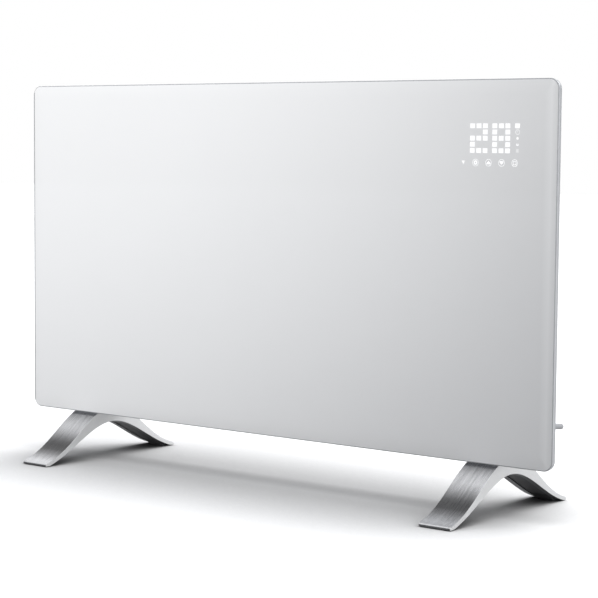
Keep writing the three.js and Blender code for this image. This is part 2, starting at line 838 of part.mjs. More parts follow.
function caseFlange(side) {
  const inner = side * (caseWidth / 2 - caseSheet / 2);
  const outer = side * (caseWidth / 2 + flangeWidth);
  return block(
    [Math.min(inner, outer), caseFrontY, caseBottomZ + flangeEndInset],
    [Math.max(inner, outer), caseFrontY + caseSheet, caseTopZ - flangeEndInset],
  );
}

function buildCase() {
  const shell = slabXZ(caseOutline(0), caseFrontY, caseBackY);
  const hollow = slabXZ(caseOutline(caseSheet), caseFrontY - cutOver, caseInnerBackY);
  const tray = join(cut(shell, hollow), caseFlange(-1), caseFlange(1));
  const footHoles = [-footX, footX].flatMap(footScrewPlaces).map((spot) => (
    footScrewHole(footScrewRadius + holeGap, spot, caseBottomZ - cutOver, caseFloorZ + cutOver)
  ));
  const switchHalfWidth = switchBodyWidth / 2 + holeGap;
  const switchHalfLength = switchBodyLength / 2 + holeGap;
  const switchHole = block(
    [switchX - 2 * caseSheet, switchOffsetY - switchHalfWidth, switchZ - switchHalfLength],
    [switchX + cutOver, switchOffsetY + switchHalfWidth, switchZ + switchHalfLength],
  );
  const glandBorer = borer(glandNeckRadius + holeGap, caseSheet);
  const glandHole = glandBorer.translate(glandX, caseInnerBackY, glandZ);
  const screwHoles = caseScrewPlaces().map(caseScrewHole);
  const holes = [...footHoles, switchHole, glandHole, ...screwHoles];
  place('rear_case', cut(tray, ...airSlots(), ...holes), whiteSteel);
}

function buildCaseScrews() {
  const screw = turned([
    [0, -caseScrewLength],
    [caseScrewRadius, -caseScrewLength],
    [caseScrewRadius, 0],
    [caseScrewHeadRadius, 0],
    [caseScrewHeadRadius, caseScrewRimHeight],
    [caseScrewCrownRadius, caseScrewHeadHeight],
    [0, caseScrewHeadHeight],
  ]);
  const headSeatY = caseFrontY + caseSheet + seatGap;
  caseScrewPlaces().forEach(([x, z], index) => {
    place(`case_screw_${index + 1}`, screw.translate(x, headSeatY, z), zincSteel);
  });
}

function buildHooks() {
  const back = caseBackY + seatGap;
  const top = caseTopZ - hookTopDrop;
  const throatRear = back + hookStrip + hookThroat;
  const profile = outline([
    [back, top - hookPlateHeight],
    [back + hookStrip, top - hookPlateHeight],
    [back + hookStrip, top - hookStrip],
    [throatRear, top - hookStrip],
    [throatRear, top - hookLipHeight],
    [throatRear + hookStrip, top - hookLipHeight],
    [throatRear + hookStrip, top],
    [back, top],
  ]);
  for (const [side, x] of [['left', -hookSpacing / 2], ['right', hookSpacing / 2]]) {
    place(`hanger_hook_${side}`, slabYZ(profile, x - hookWidth / 2, x + hookWidth / 2), zincSteel);
  }
}

// -------------------------------------------------------------- heating chamber

function buildShield() {
  const bottom = bracketBottomZ;
  const top = caseTopZ - shieldTopDrop;
  const profile = outline([
    [shieldFrontY, bottom],
    [shieldBackY, bottom],
    [shieldBackY, top - shieldThickness],
    [shieldBackY + shieldLip, top - shieldThickness],
    [shieldBackY + shieldLip, top],
    [shieldFrontY, top],
  ]);
  const left = bracketLeftX - bracketFlange;
  const right = bracketRightX + bracketSheet + bracketFlange;
  place('heat_shield', slabYZ(profile, left, right), bareAluminium);
}

// A C-section upright; side points the flanges left (-1) or right (1) of the web.
function buildBracket(name, webX, side) {
  const web = side < 0 ? webX : webX + bracketSheet;
  const far = webX + (side < 0 ? bracketSheet : 0);
  const tip = web + side * bracketFlange;
  const profile = outline([
    [far, bracketFrontY],
    [tip, bracketFrontY],
    [tip, bracketFrontY + bracketSheet],
    [web, bracketFrontY + bracketSheet],
    [web, bracketBackY - bracketSheet],
    [tip, bracketBackY - bracketSheet],
    [tip, bracketBackY],
    [far, bracketBackY],
  ]);
  let bracket = slabXY(profile, bracketBottomZ, bracketBottomZ + bracketHeight);
  for (const z of elementZ) {
    const hole = borer(bushNeckRadius + holeGap, bracketSheet).rotate(toX);
    bracket = cut(bracket, hole.translate(webX, elementY, z));
  }
  place(name, bracket, zincSteel);
}

// A hub with straight fins standing out all round, drawn about the element's axis.
function finnedOutline() {
  const half = elementFinThickness / 2;
  const root = Math.sqrt(elementHubRadius ** 2 - half ** 2);
  const points = [];
  for (let fin = 0; fin < elementFins; fin += 1) {
    const angle = ((fin + 0.5) / elementFins) * 2 * Math.PI;
    const along = new THREE.Vector2(Math.cos(angle), Math.sin(angle));
    const across = new THREE.Vector2(-along.y, along.x);
    const corners = [[root, -half], [elementRadius, -half], [elementRadius, half], [root, half]];
    for (const [reach, side] of corners) {
      const point = along.clone().multiplyScalar(reach).addScaledVector(across, side);
      points.push([point.x, point.y]);
    }
  }
  return outline(points);
}

function buildElements() {
  const left = bracketLeftX + bracketSheet + elementEndGap;
  const right = bracketRightX - elementEndGap;
  const fins = slabYZ(finnedOutline(), left, right);
  const finned = cut(fins, borer(elementBore, right - left).rotate(toX).translate(left, 0, 0));
  const bar = rod(elementCoreRadius, coreRightX - coreLeftX);
  const core = bar.rotate(toX).translate(coreLeftX, 0, 0);
  elementZ.forEach((z, index) => {
    place(`element_fins_${index + 1}`, finned.translate(0, elementY, z), bareAluminium);
    place(`element_core_${index + 1}`, core.translate(0, elementY, z), zincSteel);
  });
}

function buildBushes() {
  const inner = elementCoreRadius + holeGap;
  const neck = bracketSheet + 2 * seatGap;
  const bush = turned([
    [inner, 0],
    [bushFlangeRadius, 0],
    [bushFlangeRadius, bushFlangeThickness],
    [bushNeckRadius, bushFlangeThickness],
    [bushNeckRadius, bushFlangeThickness + neck],
    [inner, bushFlangeThickness + neck],
  ], 12, true);
  const inwardLeft = bush.rotate(toX);
  const inwardRight = bush.rotate([0, 0, 90]);
  elementZ.forEach((z, index) => {
    const leftX = bracketLeftX - seatGap - bushFlangeThickness;
    const rightX = bracketRightX + bracketSheet + seatGap + bushFlangeThickness;
    place(`bush_left_${index + 1}`, inwardLeft.translate(leftX, elementY, z), ceramic);
    place(`bush_right_${index + 1}`, inwardRight.translate(rightX, elementY, z), ceramic);
  });
}

function buildCutout() {
  const z = elementZ[1] + bushFlangeRadius + cutoutRadius + cutoutGap;
  const cap = turned([
    [0, 0],
    [cutoutRadius, 0],
    [cutoutRadius, cutoutBaseHeight],
    [cutoutCapRadius, cutoutBaseHeight],
    [cutoutCapRadius, cutoutHeight],
    [0, cutoutHeight],
  ]);
  const seatX = bracketRightX + bracketSheet + seatGap;
  place('thermal_cutout', cap.rotate(toX).translate(seatX, elementY, z), blackPlastic);
}

function buildLink() {
  const x = coreLeftX + elementCoreTail / 2 - seatGap;
  const y = elementY - elementCoreRadius - seatGap;
  const [low, high] = elementZ;
  const bar = block(
    [x - linkWidth / 2, y - linkThickness, low - linkWidth / 2],
    [x + linkWidth / 2, y, high + linkWidth / 2],
  );
  place('element_link', bar, zincSteel);
}

// ------------------------------------------------------------------ electronics

function buildTray() {
  const right = trayLeftX + trayWidth;
  const top = trayBottomZ + trayHeight;
  const rimY = trayBackY - trayWallHeight;
  const body = block([trayLeftX, rimY, trayBottomZ], [right, trayBackY, top]);
  const hollow = block(
    [trayLeftX + traySheet, rimY - cutOver, trayBottomZ + traySheet],
    [right - traySheet, trayFloorY, top - traySheet],
  );
  let tray = cut(body, hollow);
  const postX = [boardLeftX, boardRightX - trayPostSize];
  const postZ = [boardBottomZ, boardTopZ - trayPostSize];
  for (const x of postX) {
    for (const z of postZ) {
      const post = block(
        [x, trayFloorY - trayPostHeight, z],
        [x + trayPostSize, trayFloorY + joinOverlap, z + trayPostSize],
      );
      tray = join(tray, post);
    }
  }
  place('electronics_tray', tray, blackPlastic);
}

// A block soldered to the board, its lower left corner at (x, z).
function onBoard(name, [width, depth, height], [x, z], material) {
  const part = block([x, partSeatY - depth, z], [x + width, partSeatY, z + height]);
  place(name, part, material);
}

function relayLeftX(index) {
  const middleX = (boardLeftX + boardRightX) / 2;
  return index === 0 ? middleX - relaySpacing / 2 - relayWidth : middleX + relaySpacing / 2;
}

function relayZ() {
  return boardTopZ - relayTopInset - relayHeight;
}

function buildBoard() {
  const board = block([boardLeftX, boardFaceY, boardBottomZ], [boardRightX, boardBackY, boardTopZ]);
  place('power_board', board, boardGreen);
  const middleX = (boardLeftX + boardRightX) / 2;
  const supplyPlace = [middleX - supplyWidth / 2, relayZ() + relayHeight + supplyRise];
  for (const index of [0, 1]) {
    const size = [relayWidth, relayDepth, relayHeight];
    onBoard(`relay_${index + 1}`, size, [relayLeftX(index), relayZ()], relayBlue);
  }
  onBoard('power_supply_block', [supplyWidth, supplyDepth, supplyHeight], supplyPlace, blackPlastic);
  const terminalSize = [terminalWidth, terminalDepth, terminalHeight];
  onBoard('terminal_block', terminalSize, [terminalLeftX, terminalZ], palePlastic);
}

// A round lead swept along a smooth curve through the given points.
function lead(name, points, material) {
  const ring = new THREE.Shape();
  for (let side = 0; side < leadSides; side += 1) {
    const angle = (side / leadSides) * 2 * Math.PI;
    const [x, y] = [leadRadius * Math.cos(angle), leadRadius * Math.sin(angle)];
    if (side === 0) ring.moveTo(x, y);
    else ring.lineTo(x, y);
  }
  const path = new THREE.CatmullRomCurve3(points.map((p) => new THREE.Vector3(...p)));
  const options = { steps: leadSteps, extrudePath: path, bevelEnabled: false };
  place(name, toSolid(new THREE.ExtrudeGeometry(ring, options)), material);
}

function buildLeads(displayBackY) {
  const startX = coreRightX + leadEndGap;
  const relayBottomZ = relayZ() - leadEndGap;
  const relayY = partSeatY - relayDepth / 2;
  const overTrayY = trayBackY - trayWallHeight - leadBend;
  elementZ.forEach((z, index) => {
    const x = relayLeftX(index) + relayWidth / 2;
    const frontY = overTrayY - index * leadBend;
    const crossZ = relayBottomZ - leadDip;
    const climb = index === 0 ? [[startX + 3 * leadRadius, overTrayY, (z + crossZ) / 2]] : [];
    const points = [
      [startX, elementY, z],
      [startX + leadBend / 2, elementY, z],
      ...climb,
      [trayLeftX + leadBend, frontY, crossZ],
      [x - leadBend, frontY, crossZ + leadRadius],
      [x, relayY, relayBottomZ - leadBend],
      [x, relayY, relayBottomZ],
    ];
    lead(`element_lead_${index + 1}`, points, redSleeve);
  });

  const ribbonX = (displayLeftX + displayRightX) / 2;
  const ribbonFrontY = displayBackY + seatGap;
  const ribbonRearY = partSeatY;
  const dropZ = displayBottomZ - holderWall - holderFlange - ribbonWidth / 2;
  const landingZ = boardTopZ - ribbonLandingDrop;
  const profile = outline([
    [ribbonFrontY, displayBottomZ + ribbonTopInset],
    [ribbonFrontY, dropZ],
    [ribbonRearY - ribbonThickness, landingZ],
    [ribbonRearY - ribbonThickness, landingZ - ribbonLandingLength],
    [ribbonRearY, landingZ - ribbonLandingLength],
    [ribbonRearY, landingZ + ribbonThickness],
    [ribbonFrontY + ribbonThickness, dropZ + ribbonThickness],
    [ribbonFrontY + ribbonThickness, displayBottomZ + ribbonTopInset],
  ]);
  const ribbon = slabYZ(profile, ribbonX - ribbonWidth / 2, ribbonX + ribbonWidth / 2);
  place('display_ribbon', ribbon, greySleeve);

  const switchRearX = switchX - switchBodyDepth - leadEndGap;
  const terminalUnderZ = terminalZ - leadEndGap;
  const terminalX = terminalLeftX + terminalWidth / 2;
  const terminalY = partSeatY - terminalDepth / 2;
  lead('switch_lead', [
    [switchRearX, switchOffsetY, switchZ],
    [switchRearX - leadBend, switchOffsetY, switchZ + leadRadius],
    [terminalX, terminalY, terminalUnderZ - leadBend - leadRadius],
    [terminalX, terminalY, terminalUnderZ],
  ], greySleeve);
}

function buildSensor() {
  const x = footX + footPlateWidth / 2 + sensorPlateGap;
  const z = caseFloorZ + seatGap;
  const probe = turned([
    [0, 0],
    [sensorFlangeRadius, 0],
    [sensorFlangeRadius, sensorFlangeThickness],
    [sensorRadius, sensorFlangeThickness],
    [sensorRadius, sensorLength - sensorTipLength],
    [sensorTipRadius, sensorLength],
    [0, sensorLength],
  ]);
  place('air_sensor', probe.rotate(toZ).translate(x, 0, z), blackPlastic);
}

// ------------------------------------------------------------------ mains switch

function buildSwitchBody() {
  const seatX = switchX + seatGap;
  const faceX = seatX + switchBezelThickness;
  const body = block(
    [switchX - switchBodyDepth, switchOffsetY - switchBodyWidth / 2, switchZ - switchBodyLength / 2],
    [seatX + joinOverlap, switchOffsetY + switchBodyWidth / 2, switchZ + switchBodyLength / 2],
  );
  const bezel = block(
    [seatX, switchOffsetY - switchBezelWidth / 2, switchZ - switchBezelLength / 2],
    [faceX, switchOffsetY + switchBezelWidth / 2, switchZ + switchBezelLength / 2],
  );
  const floorX = rockerPivotX - rockerKeelDepth - rockerFloorGap;
  const pocket = block(
    [floorX, switchOffsetY - pocketHalfWidth, switchZ - pocketHalfLength],
    [faceX + cutOver, switchOffsetY + pocketHalfWidth, switchZ + pocketHalfLength],
  );
  const reach = rockerHalfWidth + rockerPinReach + 2 * pivotGap;
  const bearing = rod(rockerPinRadius + pivotGap, 2 * reach, fineSegments);
  const bearings = bearing.translate(rockerPivotX, switchOffsetY - reach, switchZ);
  place('mains_switch_body', cut(join(body, bezel), pocket, bearings), blackPlastic);
}

function buildRocker() {
  const wing = rockerHalfLength;
  const dishRise = rockerWingHeight - rockerDishHeight;
  const dish = [1, 0.5, 0, -0.5, -1].map((share) => (
    [share * wing, rockerDishHeight + dishRise * share ** 2]
  ));
  const profile = outline([
    [-wing, -rockerWingDepth],
    [-rockerKeelHalf, -rockerKeelDepth],
    [rockerKeelHalf, -rockerKeelDepth],
    [wing, -rockerWingDepth],
    ...dish,
  ]);
  // Drawn as (z, x), stood up so that the wings lie along Z and the face looks along X.
  const options = { depth: 2 * rockerHalfWidth, bevelEnabled: false };
  const stand = new THREE.Matrix4().makeBasis(
    new THREE.Vector3(0, 0, 1),
    new THREE.Vector3(1, 0, 0),
    new THREE.Vector3(0, 1, 0),
  );
  const geometry = new THREE.ExtrudeGeometry(profile, options).applyMatrix4(stand);
  const wings = toSolid(geometry.translate(0, -rockerHalfWidth, 0));
  const reach = rockerHalfWidth + rockerPinReach;
  const pin = rod(rockerPinRadius, 2 * reach).translate(0, -reach, 0);
  const rocker = join(wings, pin).rotate([0, rockerTilt, 0]);
  place('mains_rocker', rocker.translate(rockerPivotX, switchOffsetY, switchZ), blackPlastic);
}

// ---------------------------------------------------------------- tip-over switch

function buildTiltCase() {
  const right = tiltCaseLeftX + tiltCaseWidth;
  const top = tiltCaseBottomZ + tiltCaseHeight;
  const body = block([tiltCaseLeftX, tiltCaseFrontY, tiltCaseBottomZ], [right, partSeatY, top]);
  const hollow = block(
    [tiltCaseLeftX + tiltCaseWall, tiltCaseFrontY - cutOver, tiltCaseBottomZ + tiltCaseWall],
    [right - tiltCaseWall, partSeatY - tiltCaseWall, top - tiltCaseWall],
  );
  const bearing = borer(pendulumPinRadius + pivotGap, tiltCaseWidth, fineSegments).rotate(toX);
  const bore = bearing.translate(tiltCaseLeftX, pendulumY, pendulumZ);
  place('tilt_switch_case', cut(body, hollow, bore), palePlastic);
}

function buildPendulum() {
  const pinLength = tiltCaseWidth - 2 * seatGap;
  const pin = rod(pendulumPinRadius, pinLength).rotate(toX).translate(-pinLength / 2, 0, 0);
  const half = pendulumRod / 2;
  const stem = block([-half, -half, -pendulumLength], [half, half, 0]);
  const bob = rod(pendulumBobRadius, pendulumBobLength).rotate(toX);
  const weight = bob.translate(-pendulumBobLength / 2, 0, -pendulumLength);
  const pendulum = join(pin, stem, weight);
  place('tilt_pendulum', pendulum.translate(pendulumX, pendulumY, pendulumZ), zincSteel);
}

// ------------------------------------------------------------------- cord gland

function buildGland() {
  const seatY = caseBackY + seatGap;
  const domeY = glandFlangeThickness;
  const neck = turned([
    [0, -glandNeckLength],
    [glandNeckRadius, -glandNeckLength],
    [glandNeckRadius, 0],
    [glandFlangeRadius, 0],
    [glandFlangeRadius, glandRimHeight],
    [glandShoulderRadius, glandShoulderHeight],
    [glandCrownRadius, domeY],
    [0, domeY],
  ], fineSegments);
  const droop = [-glandDroop, 0, 0];
  const sleeveY = domeY - joinOverlap;
  const sleeve = rod(glandSleeveRadius, glandSleeveLength, fineSegments);
  const bore = borer(glandBore, glandSleeveLength);
  const neckBore = borer(glandBore, glandNeckLength + domeY).translate(0, -glandNeckLength, 0);
  const body = join(neck, sleeve.rotate(droop).translate(0, sleeveY, 0));
  const gland = cut(body, bore.rotate(droop).translate(0, sleeveY, 0), neckBore);
  place('cable_gland', gland.translate(glandX, seatY, glandZ), palePlastic);

  const inner = glandNeckRadius + holeGap;
  const nut = turned([
    [inner, 0],
    [glandNutRadius, 0],
    [glandNutRadius, glandNutThickness],
    [inner, glandNutThickness],
  ], 12, true);
  const nutY = caseInnerBackY - seatGap - glandNutThickness;
  place('gland_nut', nut.translate(glandX, nutY, glandZ), palePlastic);
}

// --------------------------------------------------------------------- assembly

buildFeet();
buildGlass();
buildFrame();
buildBondStrips();
const displayBackY = buildDisplay();
buildCase();
buildCaseScrews();
buildHooks();
buildShield();
buildBracket('element_bracket_left', bracketLeftX, -1);
buildBracket('element_bracket_right', bracketRightX, 1);
buildElements();
buildBushes();
buildCutout();
buildLink();
buildTray();
buildBoard();
buildLeads(displayBackY);
buildSensor();
buildSwitchBody();
buildRocker();
buildTiltCase();
buildPendulum();
buildGland();

export default heater;
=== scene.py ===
import json
import math

import bmesh
import bpy
from mathutils import Matrix, Vector
from mathutils.geometry import interpolate_bezier


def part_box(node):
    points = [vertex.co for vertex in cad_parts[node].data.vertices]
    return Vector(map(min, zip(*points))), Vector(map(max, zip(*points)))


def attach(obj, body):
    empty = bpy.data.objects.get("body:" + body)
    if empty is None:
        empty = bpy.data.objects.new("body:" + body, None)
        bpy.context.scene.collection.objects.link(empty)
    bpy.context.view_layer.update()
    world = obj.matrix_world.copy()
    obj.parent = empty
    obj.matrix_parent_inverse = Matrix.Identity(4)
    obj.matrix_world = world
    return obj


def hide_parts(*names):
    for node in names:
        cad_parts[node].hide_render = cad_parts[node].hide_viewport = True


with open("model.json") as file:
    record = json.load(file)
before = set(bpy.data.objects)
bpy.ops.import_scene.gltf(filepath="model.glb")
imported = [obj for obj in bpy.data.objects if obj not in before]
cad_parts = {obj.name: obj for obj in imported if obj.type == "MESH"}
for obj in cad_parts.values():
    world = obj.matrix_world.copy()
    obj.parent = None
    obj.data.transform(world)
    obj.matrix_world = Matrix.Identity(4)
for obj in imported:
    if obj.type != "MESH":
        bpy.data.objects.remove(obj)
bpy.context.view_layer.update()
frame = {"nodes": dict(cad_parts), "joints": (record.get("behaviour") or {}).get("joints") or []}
scene = bpy.context.scene
scene.view_settings.view_transform = "Standard"

mm = 0.001

# -------------------------------------------------------------- camera
# The camera stands to the right of the heater, a little below the top of its glass, and well
# back, with the long lens of a catalogue photograph.

camera_lens = 115.74
camera_sensor = 36
camera_place = Vector((1.5159, -1.8750, 0.4302))
camera_turn = math.radians(38.485)
camera_dip = math.radians(4.700)
camera_roll = math.radians(0.454)
camera_reach = 60

camera_data = bpy.data.cameras.new("camera")
camera_data.lens = camera_lens
camera_data.sensor_width = camera_sensor
camera_data.clip_end = camera_reach
camera = bpy.data.objects.new("camera", camera_data)
scene.collection.objects.link(camera)
camera.matrix_world = (
    Matrix.Translation(camera_place)
    @ Matrix.Rotation(camera_turn, 4, "Z")
    @ Matrix.Rotation(math.pi / 2 - camera_dip, 4, "X")
    @ Matrix.Rotation(camera_roll, 4, "Z")
)
scene.camera = camera

# ---------------------------------------------- floor, world and lamps
# A white studio: a wide pale floor under a white surround, a soft box overhead, a light for the
# floor alone, a soft key from the front that fades across the glass, and three narrow fills.
# Where the floor is seen, painted shadow from an occlusion ramp deepens the shade near the heater.

floor_size = 24.0
floor_paint = 0.18
floor_gleam = 0.96
floor_seen = 1.04
# Painted shadow on the floor: an occlusion ramp darkens the seen floor near the heater.
painted_shadow_reach = 0.30
painted_shadow_samples = 16
painted_shadow_tones = [(0.0, 0.08), (0.30, 0.27), (0.50, 0.54), (0.66, 0.57), (0.96, 1.0)]
surround_fill = (0.322, 0.330, 0.350)
surround_seen = 1.0
overhead_strength = 1.35
overhead_spread = math.radians(92)
overhead_tilt = (math.radians(-13), math.radians(12), 0)
floor_light_strength = 4.1
floor_light_spread = math.radians(113)
floor_light_tilt = (math.radians(-19), math.radians(38), 0)
key_place = Vector((0.87, -4.78, 1.27))
key_target = Vector((-0.607, 0, 1.12))
key_cone = math.radians(37.9)
key_radius = 0.30
key_power = 850
fill_lamps = {
    "right_fill": ((0.95, 0.08, 0.12), 1.8),
    "left_fill": ((-0.80, 0.55, 0.30), 0.6),
    "rear_fill": ((0.05, 0.90, 0.40), 1.25),
}
fill_spread = math.radians(16)


def link_nodes(tree, source, output, target, entry):
    tree.links.new(source.outputs[output], target.inputs[entry])


def as_colour(tone):
    """A grey or a colour, with its alpha."""
    return (tone, tone, tone, 1) if isinstance(tone, float) else (*tone, 1)


def colour_mix(tree, kind="MIX", **tones):
    """A full colour mix, with the greys or colours of its A and B where they don't vary."""
    mix = tree.nodes.new("ShaderNodeMix")
    mix.data_type = "RGBA"
    mix.blend_type = kind
    mix.inputs["Factor"].default_value = 1
    for label, tone in tones.items():
        mix.inputs[label].default_value = as_colour(tone)
    return mix


def ramp_between(tree, source, output, stops, target, entry):
    """Drives an input from a value through a ramp of (place, colour or grey) stops."""
    ramp = tree.nodes.new("ShaderNodeValToRGB")
    elements = ramp.color_ramp.elements
    while len(elements) < len(stops):
        elements.new(0.5)
    for element, (place, tone) in zip(elements, stops):
        element.position = place
        element.color = as_colour(tone)
    link_nodes(tree, source, output, ramp, "Fac")
    link_nodes(tree, ramp, "Color", target, entry)
    return ramp


def seen_rays(tree, kinds):
    """1 for the kinds of ray that look at the background itself, 0 for light that bounces."""
    path = tree.nodes.new("ShaderNodeLightPath")
    total = None
    for kind in kinds:
        step = tree.nodes.new("ShaderNodeMath")
        step.operation = "MAXIMUM"
        link_nodes(tree, path, kind, step, 0)
        if total is None:
            step.inputs[1].default_value = 0
        else:
            link_nodes(tree, total, "Value", step, 1)
        total = step
    return total


def make_floor():
    material = bpy.data.materials.new("studio_floor")
    material.use_nodes = True
    tree = material.node_tree
    tree.nodes.clear()
    paint = tree.nodes.new("ShaderNodeBsdfDiffuse")
    output = tree.nodes.new("ShaderNodeOutputMaterial")
    gleam = colour_mix(tree, A=floor_paint, B=floor_gleam)
    painted_shadow_mix = colour_mix(tree, "MULTIPLY", A=floor_seen)
    blend = colour_mix(tree)
    painted_shadow_occlusion = tree.nodes.new("ShaderNodeAmbientOcclusion")
    painted_shadow_occlusion.samples = painted_shadow_samples
    painted_shadow_occlusion.inputs["Distance"].default_value = painted_shadow_reach
    mirrored = seen_rays(tree, ["Is Glossy Ray", "Is Transmission Ray"])
    direct = seen_rays(tree, ["Is Camera Ray"])
    # Painted shadow: the seen floor is darkened where nearby parts occlude it.
    ramp_between(tree, painted_shadow_occlusion, "AO", painted_shadow_tones, painted_shadow_mix, "B")
    link_nodes(tree, mirrored, "Value", gleam, "Factor")
    link_nodes(tree, direct, "Value", blend, "Factor")
    link_nodes(tree, gleam, "Result", blend, "A")
    link_nodes(tree, painted_shadow_mix, "Result", blend, "B")
    link_nodes(tree, blend, "Result", paint, "Color")
    link_nodes(tree, paint, "BSDF", output, "Surface")

    shape = bmesh.new()
    bmesh.ops.create_grid(shape, x_segments=1, y_segments=1, size=floor_size / 2)
    mesh = bpy.data.meshes.new("studio_floor")
    shape.to_mesh(mesh)
    shape.free()
    mesh.materials.append(material)
    floor = bpy.data.objects.new("studio_floor", mesh)
    scene.collection.objects.link(floor)
    return floor


def make_surround():
    world = bpy.data.worlds.new("studio_surround")
    scene.world = world
    world.use_nodes = True
    tree = world.node_tree
    blend = colour_mix(tree, A=surround_fill, B=surround_seen)
    rays = seen_rays(tree, ["Is Camera Ray", "Is Glossy Ray", "Is Transmission Ray"])
    link_nodes(tree, rays, "Value", blend, "Factor")
    link_nodes(tree, blend, "Result", tree.nodes["Background"], "Color")


def flag_off(lamp, target):
    """Keeps a lamp's light off a piece, or off the floor, which has a light of its own."""
    flagged = lamp.light_linking.receiver_collection
    if flagged is None:
        flagged = bpy.data.collections.new(f"{lamp.name}_flag")
        lamp.light_linking.receiver_collection = flagged
    flagged.objects.link(target)
    for member in flagged.collection_objects:
        member.light_linking.link_state = "EXCLUDE"


def make_sun(name, strength, spread, turn):
    """An even, soft light that falls off nowhere."""
    data = bpy.data.lights.new(name, "SUN")
    data.energy = strength
    data.angle = spread
    lamp = bpy.data.objects.new(name, data)
    lamp.rotation_euler = turn
    scene.collection.objects.link(lamp)
    return lamp


def make_floor_light(floor):
    """The light that shades the floor alone, and so gives the heater its soft shadow."""
    lamp = make_sun("floor_light", floor_light_strength, floor_light_spread, floor_light_tilt)
    lit = bpy.data.collections.new("floor_light_only")
    lit.objects.link(floor)
    lamp.light_linking.receiver_collection = lit


def make_key():
    """A cone of soft light on the upper left of the glass that fades out to the far corner."""
    data = bpy.data.lights.new("key_cone", "SPOT")
    data.energy = key_power
    data.spot_size = key_cone
    data.spot_blend = 1
    data.shadow_soft_size = key_radius
    lamp = bpy.data.objects.new("key_cone", data)
    lamp.location = key_place
    lamp.rotation_euler = (key_target - key_place).to_track_quat("-Z", "Y").to_euler()
    scene.collection.objects.link(lamp)
    return lamp


floor = make_floor()
make_surround()
make_floor_light(floor)
overhead = make_sun("overhead_box", overhead_strength, overhead_spread, overhead_tilt)
fills = {}
for name, (side, strength) in fill_lamps.items():
    turn = Vector(side).to_track_quat("Z", "Y").to_euler()
    fills[name] = make_sun(name, strength, fill_spread, turn)
for lamp in (make_key(), overhead, *fills.values()):
    flag_off(lamp, floor)

# ---------------------------------------------------------------- feet
# Two cast aluminium bows that carry the heater. The top is brushed along the leg, with painted
# bands of highlight and shade down it, the sides are satin, and the hollow underside is painted
# near-black as shade. Two screws go up through the crown.

foot_low, foot_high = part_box("foot_left")
foot_spread = (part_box("foot_right")[0].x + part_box("foot_right")[1].x) / 2
foot_width = foot_high.x - foot_low.x
toe_reach = foot_high.y
seat_half = 23 * mm
crown_height = 48 * mm
toe_face = 2.2 * mm
toe_chamfer = 1.2 * mm
toe_flat = 6.5 * mm
toe_margin = 1 * mm
underside_toe_handle = (44.2 * mm, 12.7 * mm)
underside_crown_handle = 38.7 * mm
underside_steps = 36
top_toe_handle = (43.8 * mm, 12.3 * mm)
top_crown_handle = (37.3 * mm, 17.5 * mm)
top_steps = 48
lip_width = 9 * mm
recess_depth = 3 * mm
crown_block = 64 * mm
foot_edge_round = 0.35 * mm
noise_middle = (0.3, 0.7)
squarely_sideways = 0.9
partly_sideways = 0.3
recess_facing = -0.2
underside_facing = -0.15
recess_wall_facing = 0.05
weld = 1e-6


def shader_group(name, entries, exits):
    """A node group with float inputs and the named outputs, and its input and output nodes."""
    group = bpy.data.node_groups.new(name, "ShaderNodeTree")
    for label, value in entries.items():
        socket = group.interface.new_socket(label, in_out="INPUT", socket_type="NodeSocketFloat")
        socket.default_value = value
    for label, kind in exits.items():
        group.interface.new_socket(label, in_out="OUTPUT", socket_type=kind)
    return group, group.nodes.new("NodeGroupInput"), group.nodes.new("NodeGroupOutput")


def brushing_group():
    """Fine scratches drawn out along Y and Z: a tone that varies, and the normal it gives."""
    exits = {"Tone": "NodeSocketFloat", "Normal": "NodeSocketVector"}
    entries = {"Across": 1300.0, "Along": 34.0, "Depth": 0.1}
    group, entry, result = shader_group("brushing", entries, exits)
    place = group.nodes.new("ShaderNodeTexCoord")
    stretch = group.nodes.new("ShaderNodeCombineXYZ")
    spread = group.nodes.new("ShaderNodeVectorMath")
    spread.operation = "MULTIPLY"
    fine = group.nodes.new("ShaderNodeTexNoise")
    fine.inputs["Scale"].default_value = 1
    fine.inputs["Detail"].default_value = 4
    fine.inputs["Roughness"].default_value = 0.65
    bump = group.nodes.new("ShaderNodeBump")
    bump.inputs["Distance"].default_value = 0.05 * mm
    link_nodes(group, entry, "Across", stretch, "X")
    link_nodes(group, entry, "Along", stretch, "Y")
    link_nodes(group, entry, "Along", stretch, "Z")
    link_nodes(group, place, "Object", spread, 0)
    link_nodes(group, stretch, "Vector", spread, 1)
    link_nodes(group, spread, "Vector", fine, "Vector")
    link_nodes(group, fine, "Fac", bump, "Height")
    link_nodes(group, entry, "Depth", bump, "Strength")
    link_nodes(group, fine, "Fac", result, "Tone")
    link_nodes(group, bump, "Normal", result, "Normal")
    return group


def grain_group():
    """Fine moulded or sprayed texture: a slow mottle for colour and gloss, and its normal."""
    exits = {"Mottle": "NodeSocketFloat", "Normal": "NodeSocketVector"}
    entries = {"Size": 0.8 * mm, "Depth": 0.1, "Cloud": 40 * mm}
    group, entry, result = shader_group("grain", entries, exits)
    place = group.nodes.new("ShaderNodeTexCoord")
    bump = group.nodes.new("ShaderNodeBump")
    bump.inputs["Distance"].default_value = 0.1 * mm
    for label, detail in (("Size", 2), ("Cloud", 5)):
        scale = group.nodes.new("ShaderNodeMath")
        scale.operation = "DIVIDE"
        scale.inputs[0].default_value = 1
        link_nodes(group, entry, label, scale, 1)
        noise = group.nodes.new("ShaderNodeTexNoise")
        noise.inputs["Detail"].default_value = detail
        link_nodes(group, place, "Object", noise, "Vector")
        link_nodes(group, scale, "Value", noise, "Scale")
        if label == "Size":
            link_nodes(group, noise, "Fac", bump, "Height")
        else:
            link_nodes(group, noise, "Fac", result, "Mottle")
    link_nodes(group, entry, "Depth", bump, "Strength")
    link_nodes(group, bump, "Normal", result, "Normal")
    return group


brushing = brushing_group()
grain = grain_group()


